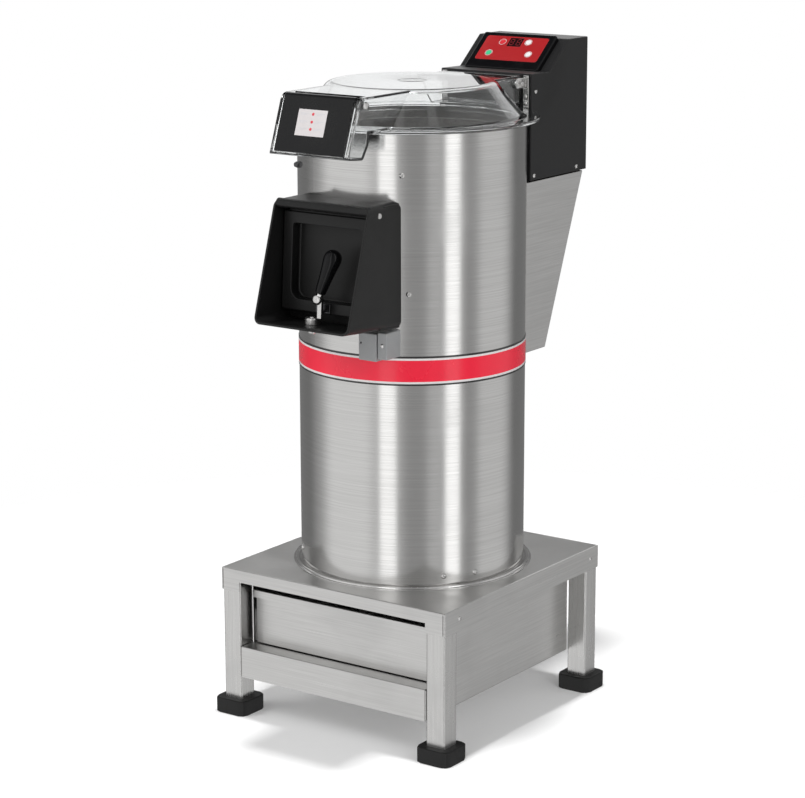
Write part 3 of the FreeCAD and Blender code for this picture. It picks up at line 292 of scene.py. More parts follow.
def makeSmudgeGroup():
    group, given, result = newGroup("smudges", [("Vector", "NodeSocketVector", (0, 0, 0)),
        ("Scale", "NodeSocketFloat", 9.0), ("Low", "NodeSocketFloat", 0.45), ("High", "NodeSocketFloat", 0.7)],
        [("Mask", "NodeSocketFloat")])
    cloud = setInputs(group.nodes.new("ShaderNodeTexNoise"), {"Detail": 6.0, "Distortion": 0.4})
    fence = group.nodes.new("ShaderNodeMapRange")
    fence.interpolation_type = "SMOOTHSTEP"
    wire(group, [(given.outputs["Vector"], cloud.inputs["Vector"]),
        (given.outputs["Scale"], cloud.inputs["Scale"]), (cloud.outputs["Fac"], fence.inputs["Value"]),
        (given.outputs["Low"], fence.inputs["From Min"]), (given.outputs["High"], fence.inputs["From Max"]),
        (fence.outputs["Result"], result.inputs["Mask"])])
    return group


def makeEdgeGroup():
    group, given, result = newGroup("edgeWear",
        [("Width", "NodeSocketFloat", 0.0015), ("Vector", "NodeSocketVector", (0, 0, 0))],
        [("Mask", "NodeSocketFloat")])
    softened = group.nodes.new("ShaderNodeBevel")
    softened.samples = 4
    facing = group.nodes.new("ShaderNodeNewGeometry")
    likeness = group.nodes.new("ShaderNodeVectorMath")
    likeness.operation = "DOT_PRODUCT"
    edge = setInputs(group.nodes.new("ShaderNodeMapRange"), {"From Min": 0.995, "From Max": 0.90})
    breakUp = setInputs(group.nodes.new("ShaderNodeTexNoise"), {"Scale": 160.0, "Detail": 4.0})
    both = group.nodes.new("ShaderNodeMath")
    both.operation = "MULTIPLY"
    wire(group, [(given.outputs["Width"], softened.inputs["Radius"]),
        (softened.outputs["Normal"], likeness.inputs[0]), (facing.outputs["Normal"], likeness.inputs[1]),
        (likeness.outputs["Value"], edge.inputs["Value"]), (given.outputs["Vector"], breakUp.inputs["Vector"]),
        (edge.outputs["Result"], both.inputs[0]), (breakUp.outputs["Fac"], both.inputs[1]),
        (both.outputs[0], result.inputs["Mask"])])
    return group


grainGroup = makeGrainGroup()
smudgeGroup = makeSmudgeGroup()
edgeGroup = makeEdgeGroup()


def placeGroup(tree, group, values, place=None):
    node = tree.nodes.new("ShaderNodeGroup")
    node.node_tree = group
    if place:
        tree.links.new(place, node.inputs["Vector"])
    return setInputs(node, values)


def mixColours(tree, factor, first, second):
    # each of first and second is a colour or the socket that gives one
    mix = tree.nodes.new("ShaderNodeMix")
    mix.data_type = "RGBA"
    tree.links.new(factor, mix.inputs["Factor"])
    for label, value in (("A", first), ("B", second)):
        socket = next(item for item in mix.inputs if item.name == label and item.type == "RGBA")
        if isinstance(value, bpy.types.NodeSocket):
            tree.links.new(value, socket)
        else:
            socket.default_value = (*value, 1.0)
    return next(item for item in mix.outputs if item.type == "RGBA")


def spread(tree, source, low, high, fromLow=0.0, fromHigh=1.0):
    node = setInputs(tree.nodes.new("ShaderNodeMapRange"), {"From Min": fromLow, "From Max": fromHigh,
        "To Min": low, "To Max": high})
    tree.links.new(source, node.inputs["Value"])
    return node.outputs["Result"]


def addRelief(tree, shader, height, strength, depth=0.0001):
    bump = setInputs(tree.nodes.new("ShaderNodeBump"), {"Strength": strength, "Distance": depth})
    wire(tree, [(height, bump.inputs["Height"]), (bump.outputs["Normal"], shader.inputs["Normal"])])


def newMaterial(name):
    # the material, its tree, its shader and its Object coordinates
    material = bpy.data.materials.new(name)
    material.use_nodes = True
    tree = material.node_tree
    return material, tree, tree.nodes["Principled BSDF"], tree.nodes.new("ShaderNodeTexCoord").outputs["Object"]


plainLook = {"detail": 4.0, "smudge": 9.0, "edge": 0.0012, "dull": 0.2, "wear": 0.6, "relief": 0.1,
    "depth": 0.0002, "metallic": 0.0, "coat": 0.0, "coatRough": 0.05, "ior": 1.5, "gloss": 0.5}


def makeSurface(name, look):
    # an opaque finish: two tones along the grain, smudged roughness, worn edges and fine relief
    look = {**plainLook, **look}
    material, tree, shader, place = newMaterial(name)
    grain = placeGroup(tree, grainGroup, {"Stretch": look["stretch"], "Detail": look["detail"]}, place)
    smudge = placeGroup(tree, smudgeGroup, {"Scale": look["smudge"]}, place)
    edge = placeGroup(tree, edgeGroup, {"Width": look["edge"]}, place)
    tones = mixColours(tree, spread(tree, grain.outputs["Lines"], 0, 1, 0.32, 0.68), look["colour"],
        look["second"])
    tones = mixColours(tree, spread(tree, smudge.outputs["Mask"], 0, look["dull"]), tones, look["dullColour"])
    tones = mixColours(tree, spread(tree, edge.outputs["Mask"], 0, look["wear"]), tones, look["wearColour"])
    rough = tree.nodes.new("ShaderNodeMath")
    rough.operation = "ADD"
    wire(tree, [(tones, shader.inputs["Base Color"]), (spread(tree, smudge.outputs["Mask"], *look["rough"]),
        rough.inputs[0]), (spread(tree, grain.outputs["Lines"], -0.03, 0.03, 0.3, 0.7), rough.inputs[1]),
        (rough.outputs[0], shader.inputs["Roughness"])])
    addRelief(tree, shader, grain.outputs["Lines"], look["relief"], look["depth"])
    setInputs(shader, {"Metallic": look["metallic"], "Coat Weight": look["coat"],
        "Coat Roughness": look["coatRough"], "IOR": look["ior"], "Specular IOR Level": look["gloss"]})
    material.diffuse_color = (*look["colour"], 1)
    return material


def even(value):
    # the same value three times: a grey, or a grain with no direction
    return (value, value, value)


steelTones = {"colour": (0.70, 0.695, 0.685), "second": (0.60, 0.595, 0.585), "dullColour": (0.52, 0.52, 0.515),
    "wearColour": (0.85, 0.85, 0.84), "metallic": 1.0}
drumSteel = makeSurface("drumSteel", {**steelTones, "stretch": (5, 5, 900), "rough": (0.16, 0.22),
    "relief": 0.20, "depth": 0.0001, "smudge": 6, "dull": 0.12})
sheetSteel = makeSurface("sheetSteel", {**steelTones, "stretch": (7, 7, 520), "rough": (0.30, 0.40),
    "relief": 0.12, "depth": 0.0001, "smudge": 7, "dull": 0.2})
legSteel = makeSurface("legSteel", {**steelTones, "stretch": (480, 480, 6), "rough": (0.26, 0.36),
    "relief": 0.08, "depth": 0.0001, "dull": 0.3})
brightSteel = makeSurface("brightSteel", {**steelTones, "colour": (0.80, 0.79, 0.78), "stretch": even(500),
    "rough": (0.12, 0.22), "relief": 0.05, "smudge": 60})
nutSteel = makeSurface("nutSteel", {**steelTones, "colour": (0.78, 0.77, 0.76), "stretch": (900, 900, 90),
    "rough": (0.30, 0.42), "relief": 0.5, "depth": 0.0002, "smudge": 60})
darkSteel = makeSurface("darkSteel", {"colour": (0.11, 0.11, 0.115), "second": (0.07, 0.07, 0.075),
    "dullColour": even(0.16), "wearColour": even(0.4), "metallic": 0.9, "stretch": even(500),
    "rough": (0.3, 0.42)})
blackTones = {"dullColour": even(0.014), "wearColour": even(0.05), "gloss": 0.3}
footRubber = makeSurface("footRubber", {**blackTones, "colour": even(0.006), "second": even(0.010),
    "stretch": even(900), "rough": (0.42, 0.62), "relief": 0.25, "smudge": 30, "dull": 0.5})
casePaint = makeSurface("casePaint", {**blackTones, "colour": (0.010, 0.010, 0.0105),
    "second": (0.013, 0.013, 0.0135), "stretch": even(1300), "rough": (0.36, 0.5), "relief": 0.22, "smudge": 7,
    "dull": 0.35})
mouldedBlack = makeSurface("mouldedBlack", {**blackTones, "colour": even(0.008), "second": even(0.012),
    "stretch": even(1600), "rough": (0.36, 0.50), "relief": 0.2, "smudge": 12, "dull": 0.4})
glossBlack = makeSurface("glossBlack", {**blackTones, "colour": (0.003, 0.003, 0.0035),
    "second": (0.005, 0.005, 0.0055), "stretch": even(200), "rough": (0.09, 0.17), "relief": 0.02, "smudge": 25,
    "dull": 0.2, "wear": 0.3, "gloss": 0.22})
flapBlack = makeSurface("flapBlack", {**blackTones, "colour": (0.005, 0.005, 0.0055),
    "second": (0.008, 0.008, 0.0085), "stretch": even(700), "rough": (0.20, 0.32), "relief": 0.06, "smudge": 14,
    "dull": 0.3, "gloss": 0.26})
greyPlastic = makeSurface("greyPlastic", {"colour": (0.33, 0.335, 0.34), "second": (0.29, 0.295, 0.30),
    "dullColour": even(0.22), "wearColour": even(0.45), "stretch": even(1100), "rough": (0.4, 0.55),
    "relief": 0.15, "smudge": 25})
membraneRed = makeSurface("membraneRed", {"colour": (0.29, 0.009, 0.012), "second": (0.26, 0.008, 0.010),
    "dullColour": (0.32, 0.02, 0.02), "wearColour": (0.5, 0.08, 0.08), "stretch": even(1500),
    "rough": (0.3, 0.42), "relief": 0.08})
keyGreen = makeSurface("keyGreen", {"colour": (0.04, 0.42, 0.20), "second": (0.03, 0.36, 0.17),
    "dullColour": (0.03, 0.25, 0.12), "wearColour": (0.2, 0.6, 0.4), "stretch": even(1500),
    "rough": (0.3, 0.42)})
keyRed = makeSurface("keyRed", {"colour": (0.50, 0.02, 0.03), "second": (0.44, 0.016, 0.024),
    "dullColour": (0.35, 0.02, 0.02), "wearColour": (0.8, 0.3, 0.3), "stretch": even(1500),
    "rough": (0.3, 0.42)})
keyPale = makeSurface("keyPale", {"colour": even(0.62), "second": even(0.55), "dullColour": even(0.45),
    "wearColour": even(0.8), "stretch": even(1500), "rough": (0.3, 0.42)})
labelFilm = makeSurface("labelFilm", {"colour": (0.60, 0.57, 0.57), "second": (0.56, 0.53, 0.53),
    "dullColour": (0.72, 0.72, 0.73), "wearColour": even(0.9), "stretch": even(900), "rough": (0.3, 0.45),
    "relief": 0.03})
inkRed = makeSurface("inkRed", {"colour": (0.62, 0.02, 0.05), "second": (0.55, 0.02, 0.04),
    "dullColour": (0.5, 0.05, 0.06), "wearColour": (0.7, 0.2, 0.2), "stretch": even(900), "rough": (0.35, 0.5)})
inkGrey = makeSurface("inkGrey", {"colour": (0.50, 0.50, 0.53), "second": (0.56, 0.56, 0.58),
    "dullColour": even(0.6), "wearColour": even(0.7), "stretch": even(900), "rough": (0.35, 0.5)})
displayWindow = makeSurface("displayWindow", {"colour": (0.010, 0.004, 0.005), "second": (0.014, 0.005, 0.006),
    "dullColour": (0.03, 0.012, 0.014), "wearColour": (0.1, 0.05, 0.05), "stretch": even(300),
    "rough": (0.06, 0.12), "coat": 0.6})
digitRed = makeSurface("digitRed", {"colour": (0.16, 0.006, 0.010), "second": (0.13, 0.005, 0.008),
    "dullColour": (0.1, 0.01, 0.01), "wearColour": (0.2, 0.05, 0.05), "stretch": even(300),
    "rough": (0.3, 0.4)})
grit = makeSurface("grit", {"colour": (0.20, 0.19, 0.175), "second": (0.06, 0.058, 0.055),
    "dullColour": (0.12, 0.115, 0.11), "wearColour": (0.28, 0.27, 0.25), "stretch": even(520), "detail": 8.0,
    "rough": (0.7, 0.9), "relief": 0.9, "depth": 0.001})
castIron = makeSurface("castIron", {"colour": (0.16, 0.165, 0.17), "second": (0.11, 0.115, 0.12),
    "dullColour": even(0.09), "wearColour": even(0.4), "metallic": 0.8, "stretch": even(260),
    "rough": (0.45, 0.6), "relief": 0.4})
motorPaint = makeSurface("motorPaint", {"colour": (0.10, 0.16, 0.24), "second": (0.085, 0.14, 0.21),
    "dullColour": (0.06, 0.09, 0.13), "wearColour": (0.3, 0.33, 0.36), "stretch": even(600),
    "rough": (0.35, 0.5), "relief": 0.15})
circuitGreen = makeSurface("circuitGreen", {"colour": (0.02, 0.16, 0.07), "second": (0.015, 0.12, 0.05),
    "dullColour": (0.02, 0.09, 0.04), "wearColour": (0.1, 0.3, 0.2), "stretch": even(500),
    "rough": (0.3, 0.45)})
brassMetal = makeSurface("brassMetal", {"colour": (0.72, 0.52, 0.24), "second": (0.62, 0.44, 0.20),
    "dullColour": (0.4, 0.3, 0.16), "wearColour": (0.85, 0.7, 0.4), "metallic": 1.0, "stretch": (400, 400, 60),
    "rough": (0.22, 0.36)})


def makeBandFilm(name, look):
    # red film with a dark and a pale line along each edge, set by height
    material, tree, shader, place = newMaterial(name)
    apart = tree.nodes.new("ShaderNodeSeparateXYZ")
    tree.links.new(place, apart.inputs[0])
    fromMiddle = tree.nodes.new("ShaderNodeMath")
    fromMiddle.operation = "SUBTRACT"
    fromMiddle.inputs[1].default_value = look["middle"]
    tree.links.new(apart.outputs["Z"], fromMiddle.inputs[0])
    reach = tree.nodes.new("ShaderNodeMath")
    reach.operation = "ABSOLUTE"
    tree.links.new(fromMiddle.outputs[0], reach.inputs[0])
    grain = placeGroup(tree, grainGroup, {"Stretch": (500, 500, 500), "Detail": 3.0}, place)
    smudge = placeGroup(tree, smudgeGroup, {"Scale": 14.0}, place)
    red = mixColours(tree, grain.outputs["Lines"], look["red"], look["deepRed"])
    pale, dark = (spread(tree, reach.outputs[0], 0, 1, look[half] - look["soft"], look[half] + look["soft"])
        for half in ("redHalf", "paleHalf"))
    tones = mixColours(tree, dark, mixColours(tree, pale, red, look["pale"]), look["dark"])
    tree.links.new(tones, shader.inputs["Base Color"])
    tree.links.new(spread(tree, smudge.outputs["Mask"], *look["rough"]), shader.inputs["Roughness"])
    addRelief(tree, shader, grain.outputs["Lines"], look["relief"])
    setInputs(shader, {"Coat Weight": look["coat"], "Coat Roughness": look["coatRough"]})
    return material


bandFilm = makeBandFilm("bandFilm", {"middle": 0.6563, "redHalf": 0.0186, "paleHalf": 0.0222,
    "red": (0.96, 0.009, 0.046), "deepRed": (0.90, 0.008, 0.040), "pale": (0.80, 0.78, 0.78),
    "dark": even(0.02), "soft": 0.0003, "rough": (0.22, 0.34), "relief": 0.03, "coat": 0.25, "coatRough": 0.12})


def makeClearSheet(name, look):
    # clear sheet with faint scratches, a trace of haze and painted shade where it is seen edge-on
    material, tree, shader, place = newMaterial(name)
    grain = placeGroup(tree, grainGroup, {"Stretch": look["stretch"], "Detail": 5.0}, place)
    smudge = placeGroup(tree, smudgeGroup, {"Scale": look["smudge"], "Low": 0.5, "High": 0.75}, place)
    tree.links.new(spread(tree, smudge.outputs["Mask"], *look["rough"]), shader.inputs["Roughness"])
    face = mixColours(tree, smudge.outputs["Mask"], look["colour"], look["second"])
    # painted shade: the sheet's colour turns grey where it is seen edge-on, standing in for the darkening of
    # light on long paths through the plastic
    angle = tree.nodes.new("ShaderNodeLayerWeight")
    blend, low, high = look["edgeOn"]
    angle.inputs["Blend"].default_value = blend
    edgeOn = spread(tree, angle.outputs["Facing"], 0, 1, low, high)
    tree.links.new(mixColours(tree, edgeOn, face, look["paintedGrazingShade"]), shader.inputs["Base Color"])
    addRelief(tree, shader, grain.outputs["Lines"], look["relief"])
    setInputs(shader, {"Transmission Weight": 1.0, "IOR": look["ior"]})
    return material


clearSheet = makeClearSheet("clearSheet", {"colour": (0.95, 0.96, 0.96), "second": (0.91, 0.92, 0.92),
    "paintedGrazingShade": (0.62, 0.64, 0.65), "rough": (0.01, 0.05), "stretch": even(60), "smudge": 9, "relief": 0.04,
    "ior": 1.49, "edgeOn": (0.4, 0.25, 0.95)})
print("finishes ready")


# stand

def makeStandTop():
    look = {"wide": 241.0, "deep": 250.0, "top": 270.5, "low": 229.5, "fold": 2.6, "sheet": 2.0,
        "notchHalf": 200.5, "notchTop": 247.5, "seam": (236.6, 237.7)}
    low = look["low"]
    bm = blockForm((-look["wide"], -look["deep"], low), (look["wide"], look["deep"], look["top"]))
    roundEdges(bm, look["fold"], 4, lambda edge: not all(vert.co.z < low + 0.1 for vert in edge.verts))
    dropFaces(bm, lambda face: face.normal.z < -0.9)
    for side in (-1, 1):
        for across in (look["notchHalf"], *look["seam"]):
            sliced(bm, (side * across, 0, 0), (1, 0, 0))
    sliced(bm, (0, 0, look["notchTop"]), (0, 0, 1))

    def opened(face):
        at = face.calc_center_median()
        front = at.y < -look["deep"] + 0.1
        seam = abs(at.y) > look["deep"] - 0.1 and look["seam"][0] < abs(at.x) < look["seam"][1]
        return (front and abs(at.x) < look["notchHalf"] and at.z < look["notchTop"]) or (seam and at.z < 268)
    dropFaces(bm, opened)
    finishPiece("standTop", bm, sheetSteel, "frame", ["stand_top_plate"], look["sheet"], 0.4)


def makeLegs():
    look = {"side": 38.0, "corner": 3.6, "low": 6.0, "high": 268.3, "x": 220.0, "y": 229.0, "foot": 67.0,
        "footTall": 28.0, "footCorner": 13.0, "footSoft": 2.2}
    for endName, end in (("front", -1), ("rear", 1)):
        for sideName, side in (("left", -1), ("right", 1)):
            half, foot = look["side"] / 2, look["foot"] / 2
            x, y = side * look["x"], end * look["y"]
            bm = blockForm((x - half, y - half, look["low"]), (x + half, y + half, look["high"]))
            roundEdges(bm, look["corner"], 4, upright(100))
            where = f"{endName}_{sideName}"
            finishPiece(f"leg_{where}", bm, legSteel, "frame", [f"leg_{where}"])
            cap = blockForm((x - foot, y - foot, 0), (x + foot, y + foot, look["footTall"]))
            roundEdges(cap, look["footCorner"], 2, upright(20))
            roundEdges(cap, look["footSoft"], 3, bothEnds(lambda co: co.z > look["footTall"] - 0.1))
            roundEdges(cap, 0.8, 2, bothEnds(lambda co: co.z < 0.1))
            finishPiece(f"footCap_{where}", cap, footRubber, "frame", [f"foot_cap_{where}"])


def makeTank():
    look = {"half": 200.5, "outline": [(-247.5, 72), (209.5, 72), (209.5, 268.2), (-212, 268.2), (-212, 126),
        (-247.5, 126)], "sheet": 1.5, "fold": 2.0}
    bm = sideForm(look["outline"], -look["half"], look["half"])
    dropFaces(bm, lambda face: face.normal.z > 0.9
        or (face.normal.y < -0.9 and face.calc_center_median().z > 130))
    roundEdges(bm, look["fold"], 3, isFold)
    finishPiece("peelTank", bm, sheetSteel, "frame", ["peel_tank"], look["sheet"])

    rail = {"half": 198.8, "path": [(-249, 71), (-249, 128), (-211, 128)], "fold": 2.4, "sheet": 1.5}
    bm = stripForm(rail["path"], -rail["half"], rail["half"])
    roundEdges(bm, rail["fold"], 4, isFold)
    finishPiece("tankFrontRail", bm, sheetSteel, "frame", ["tank_front_rail"], rail["sheet"],
        0.3)

    outlet = {"chain": [(23, 0), (34, 0), (34, 3), (25, 3), (25, 39.5), (23, 39.5)],
        "rims": [(34, 3, 0.8), (25, 39.5, 0.6)]}
    bm = roundRims(turnedForm(outlet["chain"], 64, closed=True), outlet["rims"], 3)
    finishPiece("drainOutlet", moved(aimed(bm, (0, 1, 0)), 0, 209.5, 104), sheetSteel, "frame",
        ["tank_drain_outlet"])


def makeDrawer():
    look = {"panelHalf": 189.5, "panel": [(-213.5, 130), (-213.5, 229.5), (-222.5, 229.5), (-222.5, 215.5)],
        "trayHalf": 184.5, "trayFront": -212.0, "trayBack": 195.0, "low": 131.0, "high": 215.0, "sheet": 1.5,
        "slotWide": 8.0, "slotPitch": 24.0, "slotLong": 150.0}
    panel = stripForm(look["panel"], -look["panelHalf"], look["panelHalf"])
    roundEdges(panel, 1.8, 4, isFold)
    finishPiece("drawerPanel", panel, sheetSteel, "drawer", ["peel_drawer"], look["sheet"],
        0.3)

    tray = blockForm((-look["trayHalf"], look["trayFront"], look["low"]),
        (look["trayHalf"], look["trayBack"], look["high"]))
    dropFaces(tray, lambda face: face.normal.z > 0.9 or face.normal.y < -0.9)
    rows = [(look["trayFront"] + 25, look["trayFront"] + 25 + look["slotLong"]),
        (look["trayBack"] - 25 - look["slotLong"], look["trayBack"] - 25)]
    columns = [column * look["slotPitch"] for column in range(-7, 8)]
    for middle in columns:
        for edge in (-1, 1):
            sliced(tray, (middle + edge * look["slotWide"] / 2, 0, 0), (1, 0, 0))
    for row in rows:
        for y in row:
            sliced(tray, (0, y, 0), (0, 1, 0))

    def slot(face):
        at = face.calc_center_median()
        inColumn = any(abs(at.x - middle) < look["slotWide"] / 2 for middle in columns)
        return at.z < look["low"] + 0.1 and inColumn and any(low < at.y < high for low, high in rows)
    dropFaces(tray, slot)
    rails = [blockForm((low, look["trayFront"], look["low"]), (high, look["trayBack"], look["low"] + 2), 0.4, 2)
        for low, high in ((-196.5, -184.6), (184.6, 196.5))]
    finishPiece("drawerTray", tray, sheetSteel, "drawer", thick=look["sheet"])
    finishPiece("drawerRails", joined(rails), sheetSteel, "drawer")


makeStandTop()
makeLegs()
makeTank()
makeDrawer()
print("stand and drawer shaped")


# drum

def makeDrums():
    look = {"windowHalf": 76.0, "windowLow": 770.0, "windowHigh": 915.0, "seamGap": 0.3}
    radius, steps = drum["radius"], drum["steps"]

    def skin(low, high):
        return turnedForm([(radius, low), (radius, high)], steps)
    finishPiece("lowerDrum", skin(drum["base"], drum["seam"] - look["seamGap"]), drumSteel, "frame",
        ["lower_drum"], drum["sheet"], 0.4)
    upper = skin(drum["seam"] + look["seamGap"], drum["top"])
    for across in (-look["windowHalf"], look["windowHalf"]):
        sliced(upper, (across, 0, 0), (1, 0, 0))
    for high in (look["windowLow"], look["windowHigh"]):
        sliced(upper, (0, 0, high), (0, 0, 1))

    def window(face):
        at = face.calc_center_median()
        return at.y < 0 and abs(at.x) < look["windowHalf"] and look["windowLow"] < at.z < look["windowHigh"]
    dropFaces(upper, window)
    finishPiece("upperDrum", upper, drumSteel, "frame", ["upper_drum"], drum["sheet"])


def makeBandAndFoot():
    band = {"low": 630.8, "high": 681.8, "inner": 200.05, "outer": 201.0}
    bm = turnedForm([(band["inner"], band["low"]), (band["outer"], band["low"]), (band["outer"], band["high"]),
        (band["inner"], band["high"])], drum["steps"], closed=True)
    roundRims(bm, [(band["outer"], band["low"], 0.3), (band["outer"], band["high"], 0.3)], 2)
    finishPiece("trimBand", bm, bandFilm, "frame", ["trim_band"])

    foot = {"chain": [(200.1, 270.6), (213.9, 270.6), (213.9, 272.4), (209.8, 272.6), (209.2, 275.2),
        (206.4, 275.6), (203.6, 274.6), (202.6, 272.8), (200.1, 272.6)]}
    bm = turnedForm(foot["chain"], drum["steps"], closed=True)
    roundRims(bm, [(213.9, 272.4, 0.6), (209.2, 275.2, 1.0), (206.4, 275.6, 0.8), (203.6, 274.6, 0.6)], 3)
    finishPiece("drumFootRing", bm, brightSteel, "frame", ["drum_foot_ring"])


makeDrums()
makeBandAndFoot()
print("drum shaped")


# discharge hood, door and latch

def makeHood():
    look = {"half": 99.0, "outline": [(-150, 728.2), (-327, 741.5), (-264, 947), (-150, 947)], "wall": 4.0,
        "corner": 13.0, "browHalf": 95.0, "browAt": (-258.0, 940.0), "browRadius": 8.0,
        "seat": [(-170, 731.7), (-230.5, 735), (-230.5, 742), (-218.5, 924.6), (-218.5, 944), (-170, 944)],
        "window": ((-76, -290, 770), (76, -120, 915))}
    bm = sideForm(look["outline"], -look["half"], look["half"])
    dropFaces(bm, lambda face: abs(face.normal.x) < 0.1
        and (face.calc_center_median().y < -280 or face.calc_center_median().y > -160))
    roundEdges(bm, look["corner"], 7, isFold)
    bmesh.ops.recalc_face_normals(bm, faces=bm.faces)
    bmesh.ops.solidify(bm, geom=bm.faces[:], thickness=look["wall"])
    bmesh.ops.recalc_face_normals(bm, faces=bm.faces)

    (frontY, frontZ), (topY, topZ) = look["outline"][1:3]

    def frontRim(co):
        return co.y < frontY + (co.z - frontZ) * (topY - frontY) / (topZ - frontZ) + 1.5
    roundEdges(bm, 1.5, 3, lambda edge: bothEnds(frontRim)(edge) and isFold(edge)
        and edge.calc_face_angle(0) > 1.0)
    bm = carved(bm, [("DIFFERENCE", drumCore(700, 980))])
    finishPiece("dischargeHood", bm, mouldedBlack, "frame", ["discharge_hood"])

    seat = sideForm(look["seat"], -look["half"] + 2.5, look["half"] - 2.5)
    seat = carved(seat, [("DIFFERENCE", drumCore(700, 980)), ("DIFFERENCE", blockForm(*look["window"]))])
    finishPiece("hoodSeat", seat, mouldedBlack, "frame", rim=0.8)
    brow = barForm(look["browRadius"], 2 * look["browHalf"], 40)
    roundEdges(brow, 1.5, 3, lambda edge: edge.calc_face_angle(0) > 1.0)
    finishPiece("hoodBrow", moved(aimed(brow, (1, 0, 0)), 0, *look["browAt"]), mouldedBlack, "frame")

    pin = {"at": (-236.3, 930.6), "radius": 3.0, "head": [(0, 0), (5, 0), (5, 1.2), (4, 2.6), (0, 3.0)]}
    shank = barForm(pin["radius"], 2 * look["half"], 32)
    forms = [moved(aimed(shank, (1, 0, 0)), 0, *pin["at"])]
    for side in (-1, 1):
        head = turnedForm(pin["head"], 32)
        forms.append(moved(aimed(head, (side, 0, 0)), side * look["half"], *pin["at"]))
    finishPiece("doorHingePin", joined(forms), brightSteel, "frame", ["door_hinge_pin"])


def makeDoor():
    look = {"half": 92.0, "face": -9.8, "rear": 14.7, "low": -174.0, "high": -5.5, "border": 20.0,
        "recess": 21.0, "corner": 18.0, "topCorner": 5.0, "edge": 2.5, "barrel": 6.0, "barrelHalf": 82.0}
    half, face, border = look["half"], look["face"], look["border"]
    slab = blockForm((-half, face, look["low"]), (half, look["rear"], look["high"]), look["edge"], 3)
    low, high, floor = look["low"] + border, look["high"] - border, face + look["recess"]
    pocket = blockForm((border - half, face - 10, low), (half - border, floor, high))

    def inward(edge):
        return abs(edge.verts[0].co.y - edge.verts[1].co.y) > 20
    roundEdges(pocket, look["corner"], 8, lambda edge: inward(edge) and edge.verts[0].co.z < low + 1)
    roundEdges(pocket, look["topCorner"], 4, lambda edge: inward(edge) and edge.verts[0].co.z > high - 1
        and edge.calc_face_angle(0) > 1.0)
    roundEdges(pocket, 3.5, 3, bothEnds(lambda co: co.y > floor - 0.1))
    door = carved(slab, [("DIFFERENCE", pocket)])
    finishPiece("dischargeDoor", leaned(door, "door"), mouldedBlack, "door", ["discharge_door"],
        rim=1.4, rimSteps=3)
    size, long = look["barrel"], look["barrelHalf"]
    barrel = turnedForm([(3.1, -long), (size, -long), (size, long), (3.1, long)], 40, closed=True)
    web = blockForm((-long, -size, -6.5), (long, size, -3.2), 0.5, 2)
    finishPiece("doorBarrel", leaned(joined([aimed(barrel, (1, 0, 0)), web]), "door"), mouldedBlack, "door")


def makeLatch():
    look = {"drop": -147.5, "face": -31.5, "plate": 4.0, "hub": 9.0, "lean": 21.5, "tail": 32.0,
        "postHalf": 6.5, "postFront": -25.5, "postBack": -21.8, "doorFace": -9.8,
        "cap": [(0, 0), (9, 0), (9, 1.2), (8.2, 3.0), (6.4, 4.4), (3.6, 5.1), (0, 5.3)]}
    drop, face, plate, hubSize = look["drop"], look["face"], look["plate"], look["hub"]
    half, front, doorFace = look["postHalf"], look["postFront"], look["doorFace"]
    centre = (0, face + plate / 2, drop)
    base = blockForm((-2 * half, doorFace - 2.5, -172), (2 * half, doorFace, -156), 1.0, 3)
    foot = blockForm((-half, front, -170), (half, doorFace, -166), 0.8, 2)
    post = blockForm((-half, front, -168), (half, look["postBack"], drop), 0.6, 2)
    eye = turnedForm([(0, 0), (half, 0), (half, 3.7), (0, 3.7)], 40)
    forms = [base, foot, post, moved(aimed(eye, (0, 1, 0)), 0, front, drop)]
    finishPiece("latchBracket", leaned(joined(forms), "door"), darkSteel, "door", sharp=40)
    pivot = turnedForm([(0, 0), (4, 0), (4, 10.5), (0, 10.5)], 40)
    forms = [moved(aimed(pivot, (0, 1, 0)), 0, face - 1, drop),
        moved(aimed(turnedForm(look["cap"], 48), (0, -1, 0)), 0, face - 0.3, drop)]
    finishPiece("latchPivot", leaned(joined(forms), "door"), brightSteel, "door", ["latch_bracket"],
        sharp=40)

    hub = turnedForm([(4.1, 0), (hubSize, 0), (hubSize, plate), (4.1, plate)], 48, closed=True)
    roundRims(hub, [(hubSize, 0, 0.5), (hubSize, plate, 0.5)], 2)
    tail = blockForm((0.2, face, drop - look["tail"]), (hubSize, face + plate, drop - 3), 1.0, 3)
    stem = turnedForm([(0, 9), (3.6, 9), (3.6, 26), (0, 26)], 32)
    nut = moved(roundEdges(barForm(6.4, 5.0, 6), 0.5, 2), 0, 0, 10.4)
    turn = Matrix.Rotation(math.radians(look["lean"]), 3, "Y")
    for form in (stem, nut):
        bmesh.ops.rotate(form, cent=(0, 0, 0), matrix=turn, verts=form.verts)
        moved(form, *centre)
    forms = [moved(aimed(hub, (0, 1, 0)), 0, face, drop), tail, stem, nut]
    finishPiece("latchLever", leaned(joined(forms), "door"), brightSteel, "lever", ["latch_lever"])

    grip = {"chain": [(0, 12.4), (7.6, 12.4), (9.2, 14), (9.9, 22), (10.9, 34), (12.3, 48), (13.6, 60),
        (14.8, 68), (15.5, 76), (14.9, 81), (13.0, 85.5), (10.2, 88.9), (6.6, 91), (3.0, 91.4), (0, 91.5)]}
    form = turnedForm(grip["chain"], 64)
    bmesh.ops.rotate(form, cent=(0, 0, 0), matrix=turn, verts=form.verts)
    finishPiece("leverGrip", leaned(moved(form, *centre), "door"), glossBlack, "lever", ["lever_grip"],
        sharp=60)

    keeper = {"x": -14.0, "chain": [(0, -17), (4, -16.5), (7, -14), (7, -7), (4, -7), (4, 0.1), (12.4, 0.1),
        (13, 0.8), (13, 9.4), (11.8, 11.3), (5, 11.5), (4.5, 13), (0, 13)]}
    form = roundRims(turnedForm(keeper["chain"], 48), [(13, 9.4, 0.7), (7, -14, 0.6)], 3)
    finishPiece("latchKeeper", leaned(moved(form, keeper["x"], 0, 0), "keeper"), nutSteel, "frame",
        ["latch_keeper_nut"])


